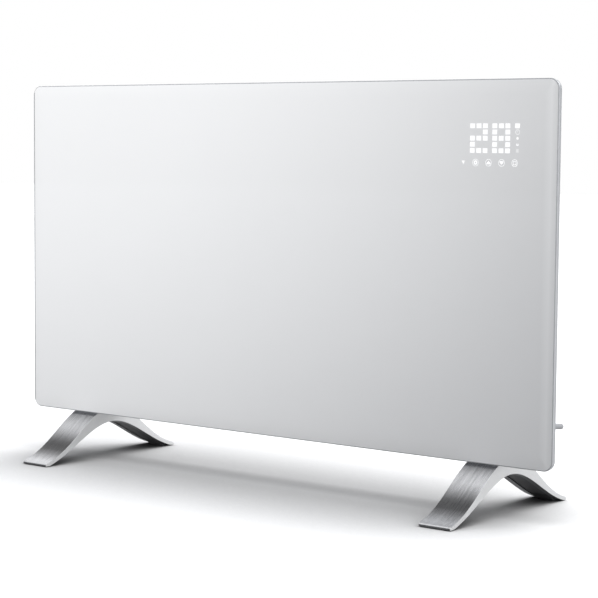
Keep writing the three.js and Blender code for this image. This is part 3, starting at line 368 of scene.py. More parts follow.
def new_finish(name, group, **values):
    """A material with a Principled shader and one of the groups above, set to these values."""
    material = bpy.data.materials.new(name)
    material.use_nodes = True
    tree = material.node_tree
    node = tree.nodes.new("ShaderNodeGroup")
    node.node_tree = group
    for label, value in values.items():
        node.inputs[label].default_value = value
    shader = tree.nodes["Principled BSDF"]
    link_nodes(tree, node, "Normal", shader, "Normal")
    return material, tree, node, shader


def vary(tree, noise, output, low, high, shader, entry):
    """Runs an input from one tone to the other over the middle of a noise."""
    start, end = noise_middle
    return ramp_between(tree, noise, output, [(start, low), (end, high)], shader, entry)


def multiply_colours(tree, first, exit_one, second, exit_two, shader):
    mix = colour_mix(tree, "MULTIPLY")
    link_nodes(tree, first, exit_one, mix, "A")
    link_nodes(tree, second, exit_two, mix, "B")
    link_nodes(tree, mix, "Result", shader, "Base Color")


def measure_along(tree, kind, axis, reach):
    """The surface's place (Object) or facing (Normal) along an axis, as a share of a range."""
    coordinates = tree.nodes.new("ShaderNodeTexCoord")
    parts = tree.nodes.new("ShaderNodeSeparateXYZ")
    share = tree.nodes.new("ShaderNodeMapRange")
    for label, value in reach.items():
        share.inputs[label].default_value = value
    link_nodes(tree, coordinates, kind, parts, "Vector")
    link_nodes(tree, parts, axis, share, "Value")
    return share


# Painted highlight and shade on the brushed top, standing in for its reflections, by height above
# the floor as a share of the foot's own height: a dark toe face, a bright toe, a dark hollow above
# it, and a bright shoulder below the crown.
bow_painted_light_bands = [
    (0.0, 0.10),
    (0.045, 0.12),
    (0.055, 0.84),
    (0.105, 0.90),
    (0.155, 0.60),
    (0.215, 0.29),
    (0.28, 0.11),
    (0.36, 0.09),
    (0.42, 0.13),
    (0.50, 0.285),
    (0.58, 0.50),
    (0.66, 0.68),
    (0.73, 0.70),
    (0.80, 0.62),
    (0.88, 0.44),
    (0.93, 0.50),
    (0.96, 1.0),
    (1.0, 1.0),
]


def brushed_bow_painted_light():
    material, tree, streaks, shader = new_finish("brushed_bow_painted_light", brushing, Depth=0.25)
    shader.inputs["Metallic"].default_value = 0.8
    height = measure_along(tree, "Object", "Z", {"From Max": foot_high.z})
    # Painted highlight and shade: the base colour runs through the height bands.
    bands = ramp_between(tree, height, "Result", bow_painted_light_bands, shader, "Base Color")
    tones = [(0.36, (0.578, 0.583, 0.605)), (0.62, (0.963, 0.971, 1.0))]
    lines = ramp_between(tree, streaks, "Tone", tones, shader, "Base Color")
    multiply_colours(tree, bands, "Color", lines, "Color", shader)
    vary(tree, streaks, "Tone", 0.32, 0.20, shader, "Roughness")
    return material


def satin_side():
    material, tree, streaks, shader = new_finish(
        "satin_side", brushing, Across=60.0, Along=1500.0, Depth=0.06
    )
    shader.inputs["Metallic"].default_value = 0.75
    shader.inputs["Roughness"].default_value = 0.5
    dark, light = (0.46, 0.463, 0.467), (0.545, 0.548, 0.552)
    vary(tree, streaks, "Tone", dark, light, shader, "Base Color")
    return material


# The underside's near-black colour is painted shade for the hollow under the foot.
def painted_shade_underside():
    material, tree, speckle, shader = new_finish(
        "painted_shade_underside", grain, Size=0.5 * mm, Depth=0.2
    )
    dark, light = (0.010, 0.010, 0.012), (0.020, 0.020, 0.023)
    vary(tree, speckle, "Mottle", dark, light, shader, "Base Color")
    vary(tree, speckle, "Mottle", 0.42, 0.55, shader, "Roughness")
    return material


def bezier_run(start, lead_out, lead_in, end, steps):
    """Points in the YZ plane along a curve given by its ends and its two handles."""
    knots = [Vector((0, y, z)) for y, z in (start, lead_out, lead_in, end)]
    return interpolate_bezier(*knots, steps)


def leg_underside():
    start = (toe_reach - toe_flat, foot_low.z)
    lead_out = (start[0] - underside_toe_handle[0], start[1] + underside_toe_handle[1])
    lead_in = (underside_crown_handle, crown_height)
    return bezier_run(start, lead_out, lead_in, (0, crown_height), underside_steps)


def leg_top():
    start = (toe_reach - toe_chamfer, foot_low.z + toe_face + toe_chamfer)
    lead_out = (start[0] - top_toe_handle[0], start[1] + top_toe_handle[1])
    lead_in = (seat_half + top_crown_handle[0], foot_high.z - top_crown_handle[1])
    return bezier_run(start, lead_out, lead_in, (seat_half, foot_high.z), top_steps)


def move_drawn(shape, drawn, vec):
    """Moves what an extrusion has just drawn out."""
    moved = [part for part in drawn["geom"] if isinstance(part, bmesh.types.BMVert)]
    bmesh.ops.translate(shape, vec=vec, verts=moved)


def extrude_outline(points, left, width):
    """A solid from an outline in the YZ plane, drawn out along X."""
    shape = bmesh.new()
    corners = [shape.verts.new((left, p.y, p.z)) for p in points]
    side = shape.faces.new(corners)
    drawn = bmesh.ops.extrude_face_region(shape, geom=[side])
    move_drawn(shape, drawn, (width, 0, 0))
    bmesh.ops.recalc_face_normals(shape, faces=shape.faces)
    return shape


def round_off(shape, geom, width, segments=2, affect="EDGES", clamp=True):
    return bmesh.ops.bevel(
        shape, geom=geom, offset=width, offset_type="OFFSET", segments=segments,
        profile=0.5, affect=affect, clamp_overlap=clamp, material=-1,
    )


def bow_shape(middle_x):
    """One leg is drawn, its recess pushed up between two lips, and the other leg mirrored."""
    left = middle_x - foot_width / 2
    toe = [Vector((0, toe_reach, foot_low.z)), Vector((0, toe_reach, foot_low.z + toe_face))]
    outline = [*reversed(leg_underside()), *toe, *leg_top(), Vector((0, 0, foot_high.z))]
    shape = extrude_outline(outline, left, foot_width)
    for lip_x in (left + lip_width, left + foot_width - lip_width):
        parts = [*shape.verts, *shape.edges, *shape.faces]
        bmesh.ops.bisect_plane(shape, geom=parts, plane_co=(lip_x, 0, 0), plane_no=(1, 0, 0))
    below = []
    for face in shape.faces:
        centre = face.calc_center_median()
        between_lips = abs(centre.x - middle_x) < foot_width / 2 - lip_width
        in_leg = crown_block / 2 < centre.y < toe_reach - toe_flat
        if face.normal.z < recess_facing and between_lips and in_leg:
            below.append(face)
    drawn = bmesh.ops.extrude_face_region(shape, geom=below)
    move_drawn(shape, drawn, (0, 0, recess_depth))
    bmesh.ops.delete(shape, geom=below, context="FACES")
    inner = [face for face in shape.faces if all(abs(v.co.y) < weld for v in face.verts)]
    bmesh.ops.delete(shape, geom=inner, context="FACES")
    parts = [*shape.verts, *shape.edges, *shape.faces]
    bmesh.ops.mirror(shape, geom=parts, axis="Y", merge_dist=weld)
    bmesh.ops.remove_doubles(shape, verts=shape.verts, dist=weld)
    bmesh.ops.recalc_face_normals(shape, faces=shape.faces)
    rims = [edge for edge in shape.edges if is_side_rim(edge, middle_x)]
    round_off(shape, rims, foot_edge_round)
    return shape


def is_side_rim(edge, middle_x):
    """An edge where a flat side of the foot meets its top, toe or underside."""
    if len(edge.link_faces) != 2:
        return False
    if any(abs(abs(v.co.x - middle_x) - foot_width / 2) > 10 * weld for v in edge.verts):
        return False
    flat = [abs(face.normal.x) > squarely_sideways for face in edge.link_faces]
    return flat[0] != flat[1]


def bow_finish_of(face, middle_x):
    """0 brushed top with painted light bands, 1 satin side, 2 underside painted near-black as
    shade.
    """
    centre = face.calc_center_median()
    outside = abs(centre.x - middle_x) > foot_width / 2 - 1.5 * foot_edge_round
    sideways = abs(face.normal.x)
    if face.normal.z < underside_facing and sideways < squarely_sideways:
        return 2
    if sideways > partly_sideways:
        return 1 if outside else 2
    under_crown = centre.z < crown_height and abs(centre.y) < toe_reach - toe_margin
    if under_crown and face.normal.z < recess_wall_facing and not outside:
        return 2
    return 0


def smooth_shading(shape, crease):
    """Smooth faces, with every edge that turns further than the crease angle left crisp."""
    for face in shape.faces:
        face.smooth = True
    for edge in shape.edges:
        edge.smooth = len(edge.link_faces) == 2 and edge.calc_face_angle(0) < math.radians(crease)


def make_piece(name, shape, materials, body="heater", crease=50):
    """Turns a shape into a piece of the heater that rides on a body."""
    smooth_shading(shape, crease)
    mesh = bpy.data.meshes.new(name)
    shape.to_mesh(mesh)
    shape.free()
    for material in materials:
        mesh.materials.append(material)
    piece = bpy.data.objects.new(name, mesh)
    scene.collection.objects.link(piece)
    flats = piece.modifiers.new("flat_faces_stay_flat", "WEIGHTED_NORMAL")
    flats.keep_sharp = True
    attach(piece, body)
    return piece


bow_finishes = [brushed_bow_painted_light(), satin_side(), painted_shade_underside()]
for side, middle_x in (("left", -foot_spread), ("right", foot_spread)):
    bow = bow_shape(middle_x)
    for face in bow.faces:
        face.material_index = bow_finish_of(face, middle_x)
    piece = make_piece(f"{side}_bow", bow, bow_finishes, crease=20)
    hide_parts(f"foot_{side}")
    flag_off(fills["left_fill"], piece)

# --------------------------------------------------------------- soles
# Black rubber strips pressed into the recess of each leg. They lie just inside the lips and
# stand proud only at the toe, where a flat tread touches the floor.

sole_gap = 0.3 * mm
sole_setback = 1 * mm
tread_length = 6 * mm
tread_ease = 9 * mm
sole_edge_round = 0.25 * mm


def black_rubber():
    material, tree, speckle, shader = new_finish("black_rubber", grain, Size=0.6 * mm, Depth=0.35)
    dark, light = (0.014, 0.014, 0.015), (0.028, 0.028, 0.031)
    vary(tree, speckle, "Mottle", dark, light, shader, "Base Color")
    vary(tree, speckle, "Mottle", 0.55, 0.75, shader, "Roughness")
    return material


def sole_shape(middle_x, side):
    points = [p for p in leg_underside() if p.y > crown_block / 2]
    toe, inner = points[0], points[-1]
    tread_start = toe.y - sole_gap - tread_length
    top = [(p.y, p.z + recess_depth - sole_gap) for p in points]
    top[0] = (top[0][0] - sole_gap, top[0][1])
    top[-1] = (top[-1][0] + sole_gap, top[-1][1])
    hollow = [p for p in points[:-1] if p.y < tread_start - tread_ease]
    below = [(p.y, p.z + sole_setback) for p in reversed(hollow)]
    end = [(inner.y + sole_gap, inner.z + sole_setback)]
    tread = [(tread_start, 0), (toe.y - sole_gap, 0)]
    outline = [Vector((0, side * y, z)) for y, z in (*top, *end, *below, *tread)]
    left = middle_x - foot_width / 2 + lip_width + sole_gap
    return extrude_outline(outline, left, foot_width - 2 * lip_width - 2 * sole_gap)


def soften_edges(shape, width, least_angle=30):
    """Rounds every edge of a shape that is sharper than the angle."""
    edges = [
        edge
        for edge in shape.edges
        if len(edge.link_faces) == 2 and edge.calc_face_angle(0) > math.radians(least_angle)
    ]
    round_off(shape, edges, width)


rubber = black_rubber()
for side, middle_x in (("left", -foot_spread), ("right", foot_spread)):
    for end, direction in (("front", -1), ("rear", 1)):
        sole = sole_shape(middle_x, direction)
        soften_edges(sole, sole_edge_round)
        piece = make_piece(f"{side}_{end}_rubber", sole, [rubber])
        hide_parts(f"sole_{side}_{end}")

# ------------------------------------------------------ foot fastening
# Two socket-head screws rise through each crown into a threaded steel plate inside the case.
# Their heads are sunk in the crown. The bows have no open pockets, so the heads don't show.

foot_screw_sizes = {"head": 4.5 * mm, "rise": 4.0 * mm, "shank": 2.5 * mm, "socket": 2.2 * mm}
socket_depth = 2.2 * mm
socket_sides = 6
plate_edge_round = 0.4 * mm
turned_steps = 24
flat_turn = math.radians(0.5)
rub_samples = 4
rub_begins = 0.98
rub_full = 0.80


def edge_group():
    """A mask that is 1 along outer edges within a radius, where handling rubs a finish."""
    exits = {"Rub": "NodeSocketFloat"}
    group, entry, result = shader_group("edge_rub", {"Radius": 0.6 * mm}, exits)
    soft = group.nodes.new("ShaderNodeBevel")
    soft.samples = rub_samples
    surface = group.nodes.new("ShaderNodeNewGeometry")
    match = group.nodes.new("ShaderNodeVectorMath")
    match.operation = "DOT_PRODUCT"
    reach = group.nodes.new("ShaderNodeMapRange")
    reach.inputs["From Min"].default_value = rub_begins
    reach.inputs["From Max"].default_value = rub_full
    link_nodes(group, entry, "Radius", soft, "Radius")
    link_nodes(group, soft, "Normal", match, 0)
    link_nodes(group, surface, "Normal", match, 1)
    link_nodes(group, match, "Value", reach, "Value")
    link_nodes(group, reach, "Result", result, "Rub")
    return group


edge_rub = edge_group()


def plain_finish(
    name, dark, light, rough, metallic=0.0, size=0.8 * mm, depth=0.1, rub=None, gleam=0.5
):
    """A mottled finish between two colours, with its own gloss, and a rubbed tone on the edges."""
    material, tree, speckle, shader = new_finish(name, grain, Size=size, Depth=depth)
    shader.inputs["Metallic"].default_value = metallic
    shader.inputs["Specular IOR Level"].default_value = gleam
    mottle = vary(tree, speckle, "Mottle", dark, light, shader, "Base Color")
    vary(tree, speckle, "Mottle", rough * 0.9, rough * 1.1, shader, "Roughness")
    if rub is not None:
        worn = tree.nodes.new("ShaderNodeGroup")
        worn.node_tree = edge_rub
        blend = colour_mix(tree, B=rub)
        link_nodes(tree, worn, "Rub", blend, "Factor")
        link_nodes(tree, mottle, "Color", blend, "A")
        link_nodes(tree, blend, "Result", shader, "Base Color")
    return material


def turned_shape(profile):
    """A body of revolution round Z from (radius, height) points."""
    shape = bmesh.new()
    line = [shape.verts.new((radius, 0, height)) for radius, height in profile]
    for near, far in zip(line, line[1:]):
        shape.edges.new((near, far))
    bmesh.ops.spin(
        shape, geom=[*shape.verts, *shape.edges], axis=(0, 0, 1), cent=(0, 0, 0),
        angle=2 * math.pi, steps=turned_steps, use_merge=True,
    )
    bmesh.ops.remove_doubles(shape, verts=shape.verts, dist=weld)
    bmesh.ops.recalc_face_normals(shape, faces=shape.faces)
    return shape


def screw_shape(head, rise, shank, socket, length):
    """A domed screw, head up, with a six-sided socket sunk into the top of its head."""
    profile = [(socket * 1.12, rise), (head * 0.72, rise * 0.94), (head * 0.93, rise * 0.72)]
    profile += [(head, rise * 0.35), (head, 0), (shank, 0), (shank, -length + shank * 0.3)]
    profile += [(shank * 0.7, -length), (0, -length)]
    shape = turned_shape(profile)
    rim = [edge for edge in shape.edges if edge.is_boundary]
    made = bmesh.ops.create_circle(
        shape, cap_ends=False, segments=socket_sides, radius=socket,
        matrix=Matrix.Translation((0, 0, rise)),
    )
    sides = list({edge for vert in made["verts"] for edge in vert.link_edges})
    cuts = turned_steps // socket_sides - 1
    split = bmesh.ops.subdivide_edges(shape, edges=sides, cuts=cuts)
    parts = split["geom_inner"] + split["geom_split"]
    edges = list({part for part in parts if isinstance(part, bmesh.types.BMEdge)})
    bmesh.ops.bridge_loops(shape, edges=rim + edges)
    drawn = bmesh.ops.extrude_edge_only(shape, edges=edges)
    move_drawn(shape, drawn, (0, 0, -min(socket_depth, rise * 0.6)))
    socket_floor = [edge for edge in shape.edges if edge.is_boundary]
    bmesh.ops.holes_fill(shape, edges=socket_floor, sides=0)
    bmesh.ops.recalc_face_normals(shape, faces=shape.faces)
    return shape


def set_turned(shape, angle, spot):
    """Tips a shape that was made along Z about the X axis, and puts it in its place."""
    tip = Matrix.Rotation(angle, 3, "X")
    bmesh.ops.rotate(shape, verts=shape.verts, cent=(0, 0, 0), matrix=tip)
    bmesh.ops.translate(shape, verts=shape.verts, vec=spot)


def softened_copy(node, width, crease):
    """A CAD piece's own mesh, merged, with its flat faces joined and its sharp edges rounded."""
    shape = bmesh.new()
    shape.from_mesh(frame["nodes"][node].data)
    bmesh.ops.remove_doubles(shape, verts=shape.verts, dist=weld)
    bmesh.ops.dissolve_limit(
        shape, angle_limit=flat_turn, verts=shape.verts, edges=shape.edges
    )
    if width:
        soften_edges(shape, width, crease)
    bmesh.ops.recalc_face_normals(shape, faces=shape.faces)
    return shape


def dress(nodes, finish, width=0, body="heater", crease=32):
    """Gives each of these CAD pieces a copy in this finish, its edges rounded to a width."""
    for node in nodes:
        shape = softened_copy(node, width, crease)
        piece = make_piece(f"{node}_dressed", shape, [finish], body, crease=max(crease, 50))
        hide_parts(node)


zinc = plain_finish(
    "zinc_plated_steel", (0.50, 0.50, 0.49), (0.62, 0.62, 0.61), 0.34, metallic=1,
    size=0.5 * mm, depth=0.05, rub=(0.72, 0.72, 0.71),
)
for side in ("left", "right"):
    dress([f"foot_plate_{side}"], zinc, plate_edge_round)
    for place in (1, 2):
        node = f"foot_screw_{side}_{place}"
        low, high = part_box(node)
        middle = (low + high) / 2
        rise = foot_screw_sizes["rise"]
        screw = screw_shape(length=high.z - low.z - rise, **foot_screw_sizes)
        set_turned(screw, math.pi, (middle.x, middle.y, low.z + rise))
        piece = make_piece(f"{node}_turned", screw, [zinc], crease=35)
        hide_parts(node)

# ----------------------------------------------------------- rear case
# A folded tray of thin sheet steel, sprayed white, with rows of air slots punched through its
# top, bottom and rear walls. Its side flanges are screwed to the carrier frame from behind.

case_edge_round = 0.3 * mm

sprayed_white = plain_finish(
    "sprayed_white", (0.72, 0.725, 0.73), (0.735, 0.74, 0.745), 0.42,
    size=0.9 * mm, depth=0.12, rub=(0.78, 0.785, 0.79),
)
dress(["rear_case"], sprayed_white, case_edge_round)

# -------------------------------------------------------- hanger hooks
# Two pressed steel hooks, zinc plated and riveted to the rear wall, so that the heater can hang
# from a rail when its feet are off.

hook_edge_round = 0.3 * mm
rivet_radius = 2.8 * mm
rivet_rise = 1.1 * mm
rivet_brim = 0.02 * mm
rivet_sink = 0.2 * mm
rivet_spread = 12 * mm
rivet_height = 9 * mm
hook_sheet = 1.5 * mm
rivet_profile = [
    (0, rivet_rise),
    (rivet_radius * 0.5, rivet_rise * 0.9),
    (rivet_radius * 0.85, rivet_rise * 0.55),
    (rivet_radius, rivet_brim),
    (rivet_radius, -rivet_sink),
    (0, -rivet_sink),
]

dress(["hanger_hook_left", "hanger_hook_right"], zinc, hook_edge_round)
for side in ("left", "right"):
    low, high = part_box(f"hanger_hook_{side}")
    for place, offset in ((1, -rivet_spread), (2, rivet_spread)):
        rivet = turned_shape(rivet_profile)
        spot = ((low.x + high.x) / 2 + offset, low.y + hook_sheet, low.z + rivet_height)
        set_turned(rivet, -math.pi / 2, spot)
        make_piece(f"hook_rivet_{side}_{place}", rivet, [zinc], crease=40)

# ----------------------------------------------------- heating chamber
# Two sheathed rods with extruded aluminium fins lie across the case on sheet brackets, held
# in ceramic bushes, behind a bright shield. A cutout on the bracket breaks the circuit.

chamber_edge_round = 0.15 * mm
rod_edge_round = 0.1 * mm
bush_edge_round = 0.3 * mm

bare_aluminium = plain_finish(
    "bare_aluminium", (0.70, 0.71, 0.72), (0.80, 0.81, 0.82), 0.30, metallic=1,
    size=0.5 * mm, depth=0.06, rub=(0.86, 0.87, 0.88),
)
rod_steel = plain_finish(
    "tempered_rod_steel", (0.30, 0.27, 0.24), (0.42, 0.39, 0.36), 0.38, metallic=1,
    size=0.5 * mm, depth=0.05,
)
glazed_ceramic = plain_finish(
    "glazed_ceramic", (0.78, 0.76, 0.71), (0.86, 0.84, 0.80), 0.30, size=0.5 * mm, depth=0.05,
)
moulded_black = plain_finish(
    "moulded_black", (0.012, 0.012, 0.013), (0.026, 0.026, 0.028), 0.45,
    size=0.5 * mm, depth=0.25, rub=(0.05, 0.05, 0.052),
)
dress(["heat_shield"], bare_aluminium, chamber_edge_round)
dress(["element_bracket_left", "element_bracket_right"], zinc, chamber_edge_round)
dress(["element_fins_1", "element_fins_2"], bare_aluminium, chamber_edge_round)
rods = ["element_core_1", "element_core_2", "element_link"]
dress(rods, rod_steel, rod_edge_round, crease=45)
bushes = ["bush_left_1", "bush_left_2", "bush_right_1", "bush_right_2"]
dress(bushes, glazed_ceramic, bush_edge_round, crease=45)
dress(["thermal_cutout"], moulded_black, bush_edge_round, crease=45)

# --------------------------------------------------------- electronics
# A moulded tray beside the elements carries the power board, with two relays, the supply
# block and the terminals. The tip-over switch and the air sensor stand beside and below it.

moulded_edge_round = 0.4 * mm
board_edge_round = 0.15 * mm
switch_case_round = 0.3 * mm
pendulum_edge_round = 0.2 * mm

board_green = plain_finish(
    "board_lacquer", (0.012, 0.075, 0.035), (0.022, 0.11, 0.05), 0.28, size=1.5 * mm, depth=0.08,
)
relay_blue = plain_finish(
    "relay_blue", (0.020, 0.09, 0.30), (0.03, 0.12, 0.38), 0.35, size=0.5 * mm, depth=0.1,
)
moulded_pale = plain_finish(
    "moulded_pale", (0.60, 0.60, 0.585), (0.68, 0.68, 0.665), 0.38, size=0.6 * mm, depth=0.12,
)
boxes = ["electronics_tray", "power_supply_block"]
dress(boxes, moulded_black, moulded_edge_round)
dress(["power_board"], board_green, board_edge_round)
dress(["relay_1", "relay_2"], relay_blue, moulded_edge_round)
dress(["terminal_block"], moulded_pale, moulded_edge_round)
dress(["air_sensor"], moulded_black, switch_case_round, crease=45)
dress(["tilt_switch_case"], moulded_pale, switch_case_round)
dress(["tilt_pendulum"], zinc, pendulum_edge_round, body="pendulum", crease=45)

# --------------------------------------------------------------- leads
# Sleeved leads run from the elements and the mains switch to the board, and a flat grey
# ribbon joins the power board to the display.

red_sleeve = plain_finish(
    "red_silicone_sleeve", (0.30, 0.02, 0.015), (0.42, 0.035, 0.025), 0.50,
    size=0.6 * mm, depth=0.15,
)
grey_sleeve = plain_finish(
    "grey_sleeve", (0.20, 0.20, 0.205), (0.28, 0.28, 0.285), 0.50, size=0.6 * mm, depth=0.12,
)
dress(["element_lead_1", "element_lead_2"], red_sleeve, crease=60)
dress(["display_ribbon"], grey_sleeve, crease=40)
dress(["switch_lead"], grey_sleeve, crease=60)

# -------------------------------------------------------- mains switch
# A black rocker switch snapped into the right wall of the case. The rocker tilts ten degrees
# either way on its pins, and its two halves carry the on and off signs in white.

switch_edge_round = 0.35 * mm
rocker_edge_round = 0.3 * mm
rocker_sign_offset = 5.2 * mm
rocker_sign_height = 1.70 * mm
rocker_wing_slope = math.radians(15.15)
rocker_rest = math.radians(10)
rocker_sign_line = 0.55 * mm
rocker_sign_size = 1.35 * mm

dress(["mains_switch_body"], moulded_black, switch_edge_round)
dress(
    ["mains_rocker"], moulded_black, rocker_edge_round, body="rocker", crease=40
)


def add_square(shape, matrix):
    """A square of one unit, laid and stretched by the matrix."""
    return bmesh.ops.create_grid(shape, x_segments=1, y_segments=1, size=0.5, matrix=matrix)


def rocker_signs():
    """Flat signs laid on the dished face of the rocker, which rests at its off position."""
    tilt = next(joint for joint in frame["joints"] if joint["name"] == "mains_rocker_tilt")
    signs = bmesh.new()
    for side, kind in ((1, "on"), (-1, "off")):
        spot = (
            Matrix.Translation(tilt["pos_m"])
            @ Matrix.Rotation(rocker_rest, 4, "Y")
            @ Matrix.Translation((rocker_sign_height, 0, side * rocker_sign_offset))
            @ Matrix.Rotation(side * rocker_wing_slope, 4, "Y")
            @ Matrix.Rotation(math.pi / 2, 4, "Y")
            @ Matrix.Rotation(math.pi / 2, 4, "Z")
        )
        if kind == "on":
            bar = Matrix.Diagonal((rocker_sign_line, 2 * rocker_sign_size, 1, 1))
            add_square(signs, spot @ bar)
        else:
            loops = []
            for radius in (rocker_sign_size, rocker_sign_size - rocker_sign_line):
                made = bmesh.ops.create_circle(
                    signs, cap_ends=False, segments=turned_steps, radius=radius, matrix=spot
                )
                loops += {edge for vert in made["verts"] for edge in vert.link_edges}
            bmesh.ops.bridge_loops(signs, edges=loops)
    return signs


sign_white = plain_finish(
    "printed_white", (0.74, 0.74, 0.73), (0.82, 0.82, 0.81), 0.5, size=0.4 * mm, depth=0.05,
)
make_piece("rocker_signs", rocker_signs(), [sign_white], body="rocker")

# ---------------------------------------------------------- cord gland
# A pale plastic gland for the mains cord goes through the rear wall, with a nut inside the
# case. Its short sleeve droops a little below level.

gland_edge_round = 0.3 * mm

gland_grey = plain_finish(
    "gland_grey", (0.36, 0.365, 0.38), (0.42, 0.425, 0.44), 0.7, size=0.5 * mm, depth=0.1,
    gleam=0.1,
)
dress(["cable_gland", "gland_nut"], gland_grey, gland_edge_round, crease=40)

# ------------------------------------------------------- display stack
# Behind the glass a black holder carries the display board, a light guide that feeds the
# dots, and the foil that senses a finger at the touch keys.

guide_edge_round = 0.1 * mm
holder_edge_round = 0.25 * mm

light_guide = plain_finish(
    "milky_light_guide", (0.80, 0.81, 0.82), (0.88, 0.89, 0.90), 0.25, size=0.5 * mm, depth=0.04,
)
copper_foil = plain_finish(
    "copper_foil", (0.70, 0.35, 0.22), (0.82, 0.44, 0.29), 0.32, metallic=1,
    size=1.2 * mm, depth=0.15,
)
dress(["display_board"], board_green, board_edge_round)
dress(["display_light_guide"], light_guide, guide_edge_round)
dress(["touch_key_foil"], copper_foil)
dress(["display_holder"], moulded_black, holder_edge_round)

# ------------------------------------------------------- carrier frame
# A shallow moulded frame, in the same silver grey all round, that the glass is bonded to. Its
# rim shows as a fine line behind the edge of the glass.

frame_edge_round = 0.35 * mm
strip_edge_round = 0.2 * mm

silver_frame = plain_finish(
    "silver_grey_frame", (0.41, 0.42, 0.435), (0.47, 0.48, 0.495), 0.6,
    size=0.5 * mm, depth=0.1, rub=(0.49, 0.50, 0.515), gleam=0.05,
)
bond_foam = plain_finish(
    "bond_foam", (0.10, 0.10, 0.105), (0.16, 0.16, 0.165), 0.85, size=0.4 * mm, depth=0.5,
)
dress(["carrier_frame"], silver_frame, frame_edge_round)
strips = ["bond_strip_left", "bond_strip_middle", "bond_strip_right"]
dress(strips, bond_foam, strip_edge_round)

# --------------------------------------------------------- case screws
# Six pan-head screws fasten the case's flanges to the frame, three down each side, driven
# from behind.

case_screw_sizes = {"head": 3.2 * mm, "rise": 2.1 * mm, "shank": 1.5 * mm, "socket": 1.4 * mm}

for place in range(1, 7):
    low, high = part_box(f"case_screw_{place}")
    middle = (low + high) / 2
    rise = case_screw_sizes["rise"]
    screw = screw_shape(length=high.y - low.y - rise, **case_screw_sizes)
    set_turned(screw, -math.pi / 2, (middle.x, high.y - rise, middle.z))
    piece = make_piece(f"case_screw_{place}_turned", screw, [zinc], crease=35)
    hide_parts(f"case_screw_{place}")

# --------------------------------------------------------- front glass
# A 4 mm sheet of tempered glass with a soft curve along its border, printed white on the
# back. The print stops short of the edge, a little more at the left, where the clear ground
# glass shows grey.

glass_low, glass_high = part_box("front_glass")
glass_corner = 12 * mm
glass_least_corner = 2 * mm
corner_steps = 10
pillow_width = 18 * mm
pillow_drop = 0.9 * mm
pillow_rings = 8
print_inset = 1.2 * mm
left_print_inset = 2.6 * mm
glass_edge_round = 1.2 * mm
glass_edge_steps = 4
glass_back_chamfer = 0.4 * mm
ground_side_turn = 0.55
border_turn = 0.107
# Painted highlight and shade along the right border, by how far the surface turns to the right.
right_border_painted_light = [
    (0.0, 0.92), (0.30, 0.96), (0.56, 0.99), (0.74, 0.92), (0.92, 0.86), (1.0, 0.86)
]
# Painted shade on the rim where it turns to the left.
left_rim_painted_shade = 0.30
left_rim_shade_facing = (-0.5, -0.15)


def rounded_ring(shape, inset, y):
    """The edges of the glass's rounded outline at depth y, drawn in by an inset."""
    radius = max(glass_corner - inset, glass_least_corner)
    low, high = glass_low, glass_high
    spots = [(low.x, low.z), (high.x, low.z), (high.x, high.z), (low.x, high.z)]
    middle = (low + high) / 2
    corners = []
    for x, z in spots:
        x += math.copysign(inset, middle.x - x)
        z += math.copysign(inset, middle.z - z)
        corners.append(shape.verts.new((x, y, z)))
    shape.faces.new(corners)
    rounded = round_off(shape, corners, radius, corner_steps, "VERTICES", clamp=False)
    edges = set()
    for vert in rounded["verts"]:
        edges.update(vert.link_edges)
    faces = {face for edge in edges for face in edge.link_faces}
    bmesh.ops.delete(shape, geom=list(faces), context="FACES_ONLY")
    return list(edges)


def bridge_rings(shape, rings):
    """Skins neighbouring rings in turn and closes the first and the last; returns the bands."""
    bands = []
    for near, far in zip(rings, rings[1:]):
        bands.append(bmesh.ops.bridge_loops(shape, edges=near + far)["faces"])
    for ring in (rings[0], rings[-1]):
        bmesh.ops.edgeloop_fill(shape, edges=ring)
    bmesh.ops.recalc_face_normals(shape, faces=shape.faces)
    return bands


def glass_sections():
    """(inset, depth) of each ring, from the flat of the face out and round to the back."""
    face_y = glass_low.y
    flat_run = pillow_width - glass_edge_round
    insets = [pillow_width - flat_run * step / pillow_rings for step in range(pillow_rings + 1)]
    insets.insert(pillow_rings, left_print_inset)
    sections = []
    for inset in insets:
        share = (pillow_width - inset) / flat_run
        sections.append((inset, face_y + pillow_drop * share**2))
    for step in range(1, glass_edge_steps + 1):
        angle = step / glass_edge_steps * math.pi / 2
        drop = pillow_drop + glass_edge_round * (1 - math.cos(angle))
        sections.append((glass_edge_round * (1 - math.sin(angle)), face_y + drop))
    sections.append((0, glass_high.y - glass_back_chamfer))
    sections.append((glass_back_chamfer, glass_high.y))
    return sections


def printed_glass():
    material, tree, wave, shader = new_finish(
        "printed_glass", grain, Size=150 * mm, Depth=0.02, Cloud=220 * mm
    )
    dark, light = (0.925, 0.930, 0.935), (0.935, 0.940, 0.945)
    white = vary(tree, wave, "Mottle", dark, light, shader, "Base Color")
    # Painted highlight and shade: a lighter band, then a darker fade out to the right edge.
    facing_for_painted_light = measure_along(tree, "Normal", "X", {"From Max": border_turn})
    painted_border_light = ramp_between(tree, facing_for_painted_light, "Result", right_border_painted_light, shader, "Base Color")
    multiply_colours(tree, white, "Color", painted_border_light, "Color", shader)
    vary(tree, wave, "Mottle", 0.16, 0.20, shader, "Roughness")
    shader.inputs["Coat Weight"].default_value = 1
    shader.inputs["Coat Roughness"].default_value = 0.03
    shader.inputs["Coat IOR"].default_value = 1.5
    return material


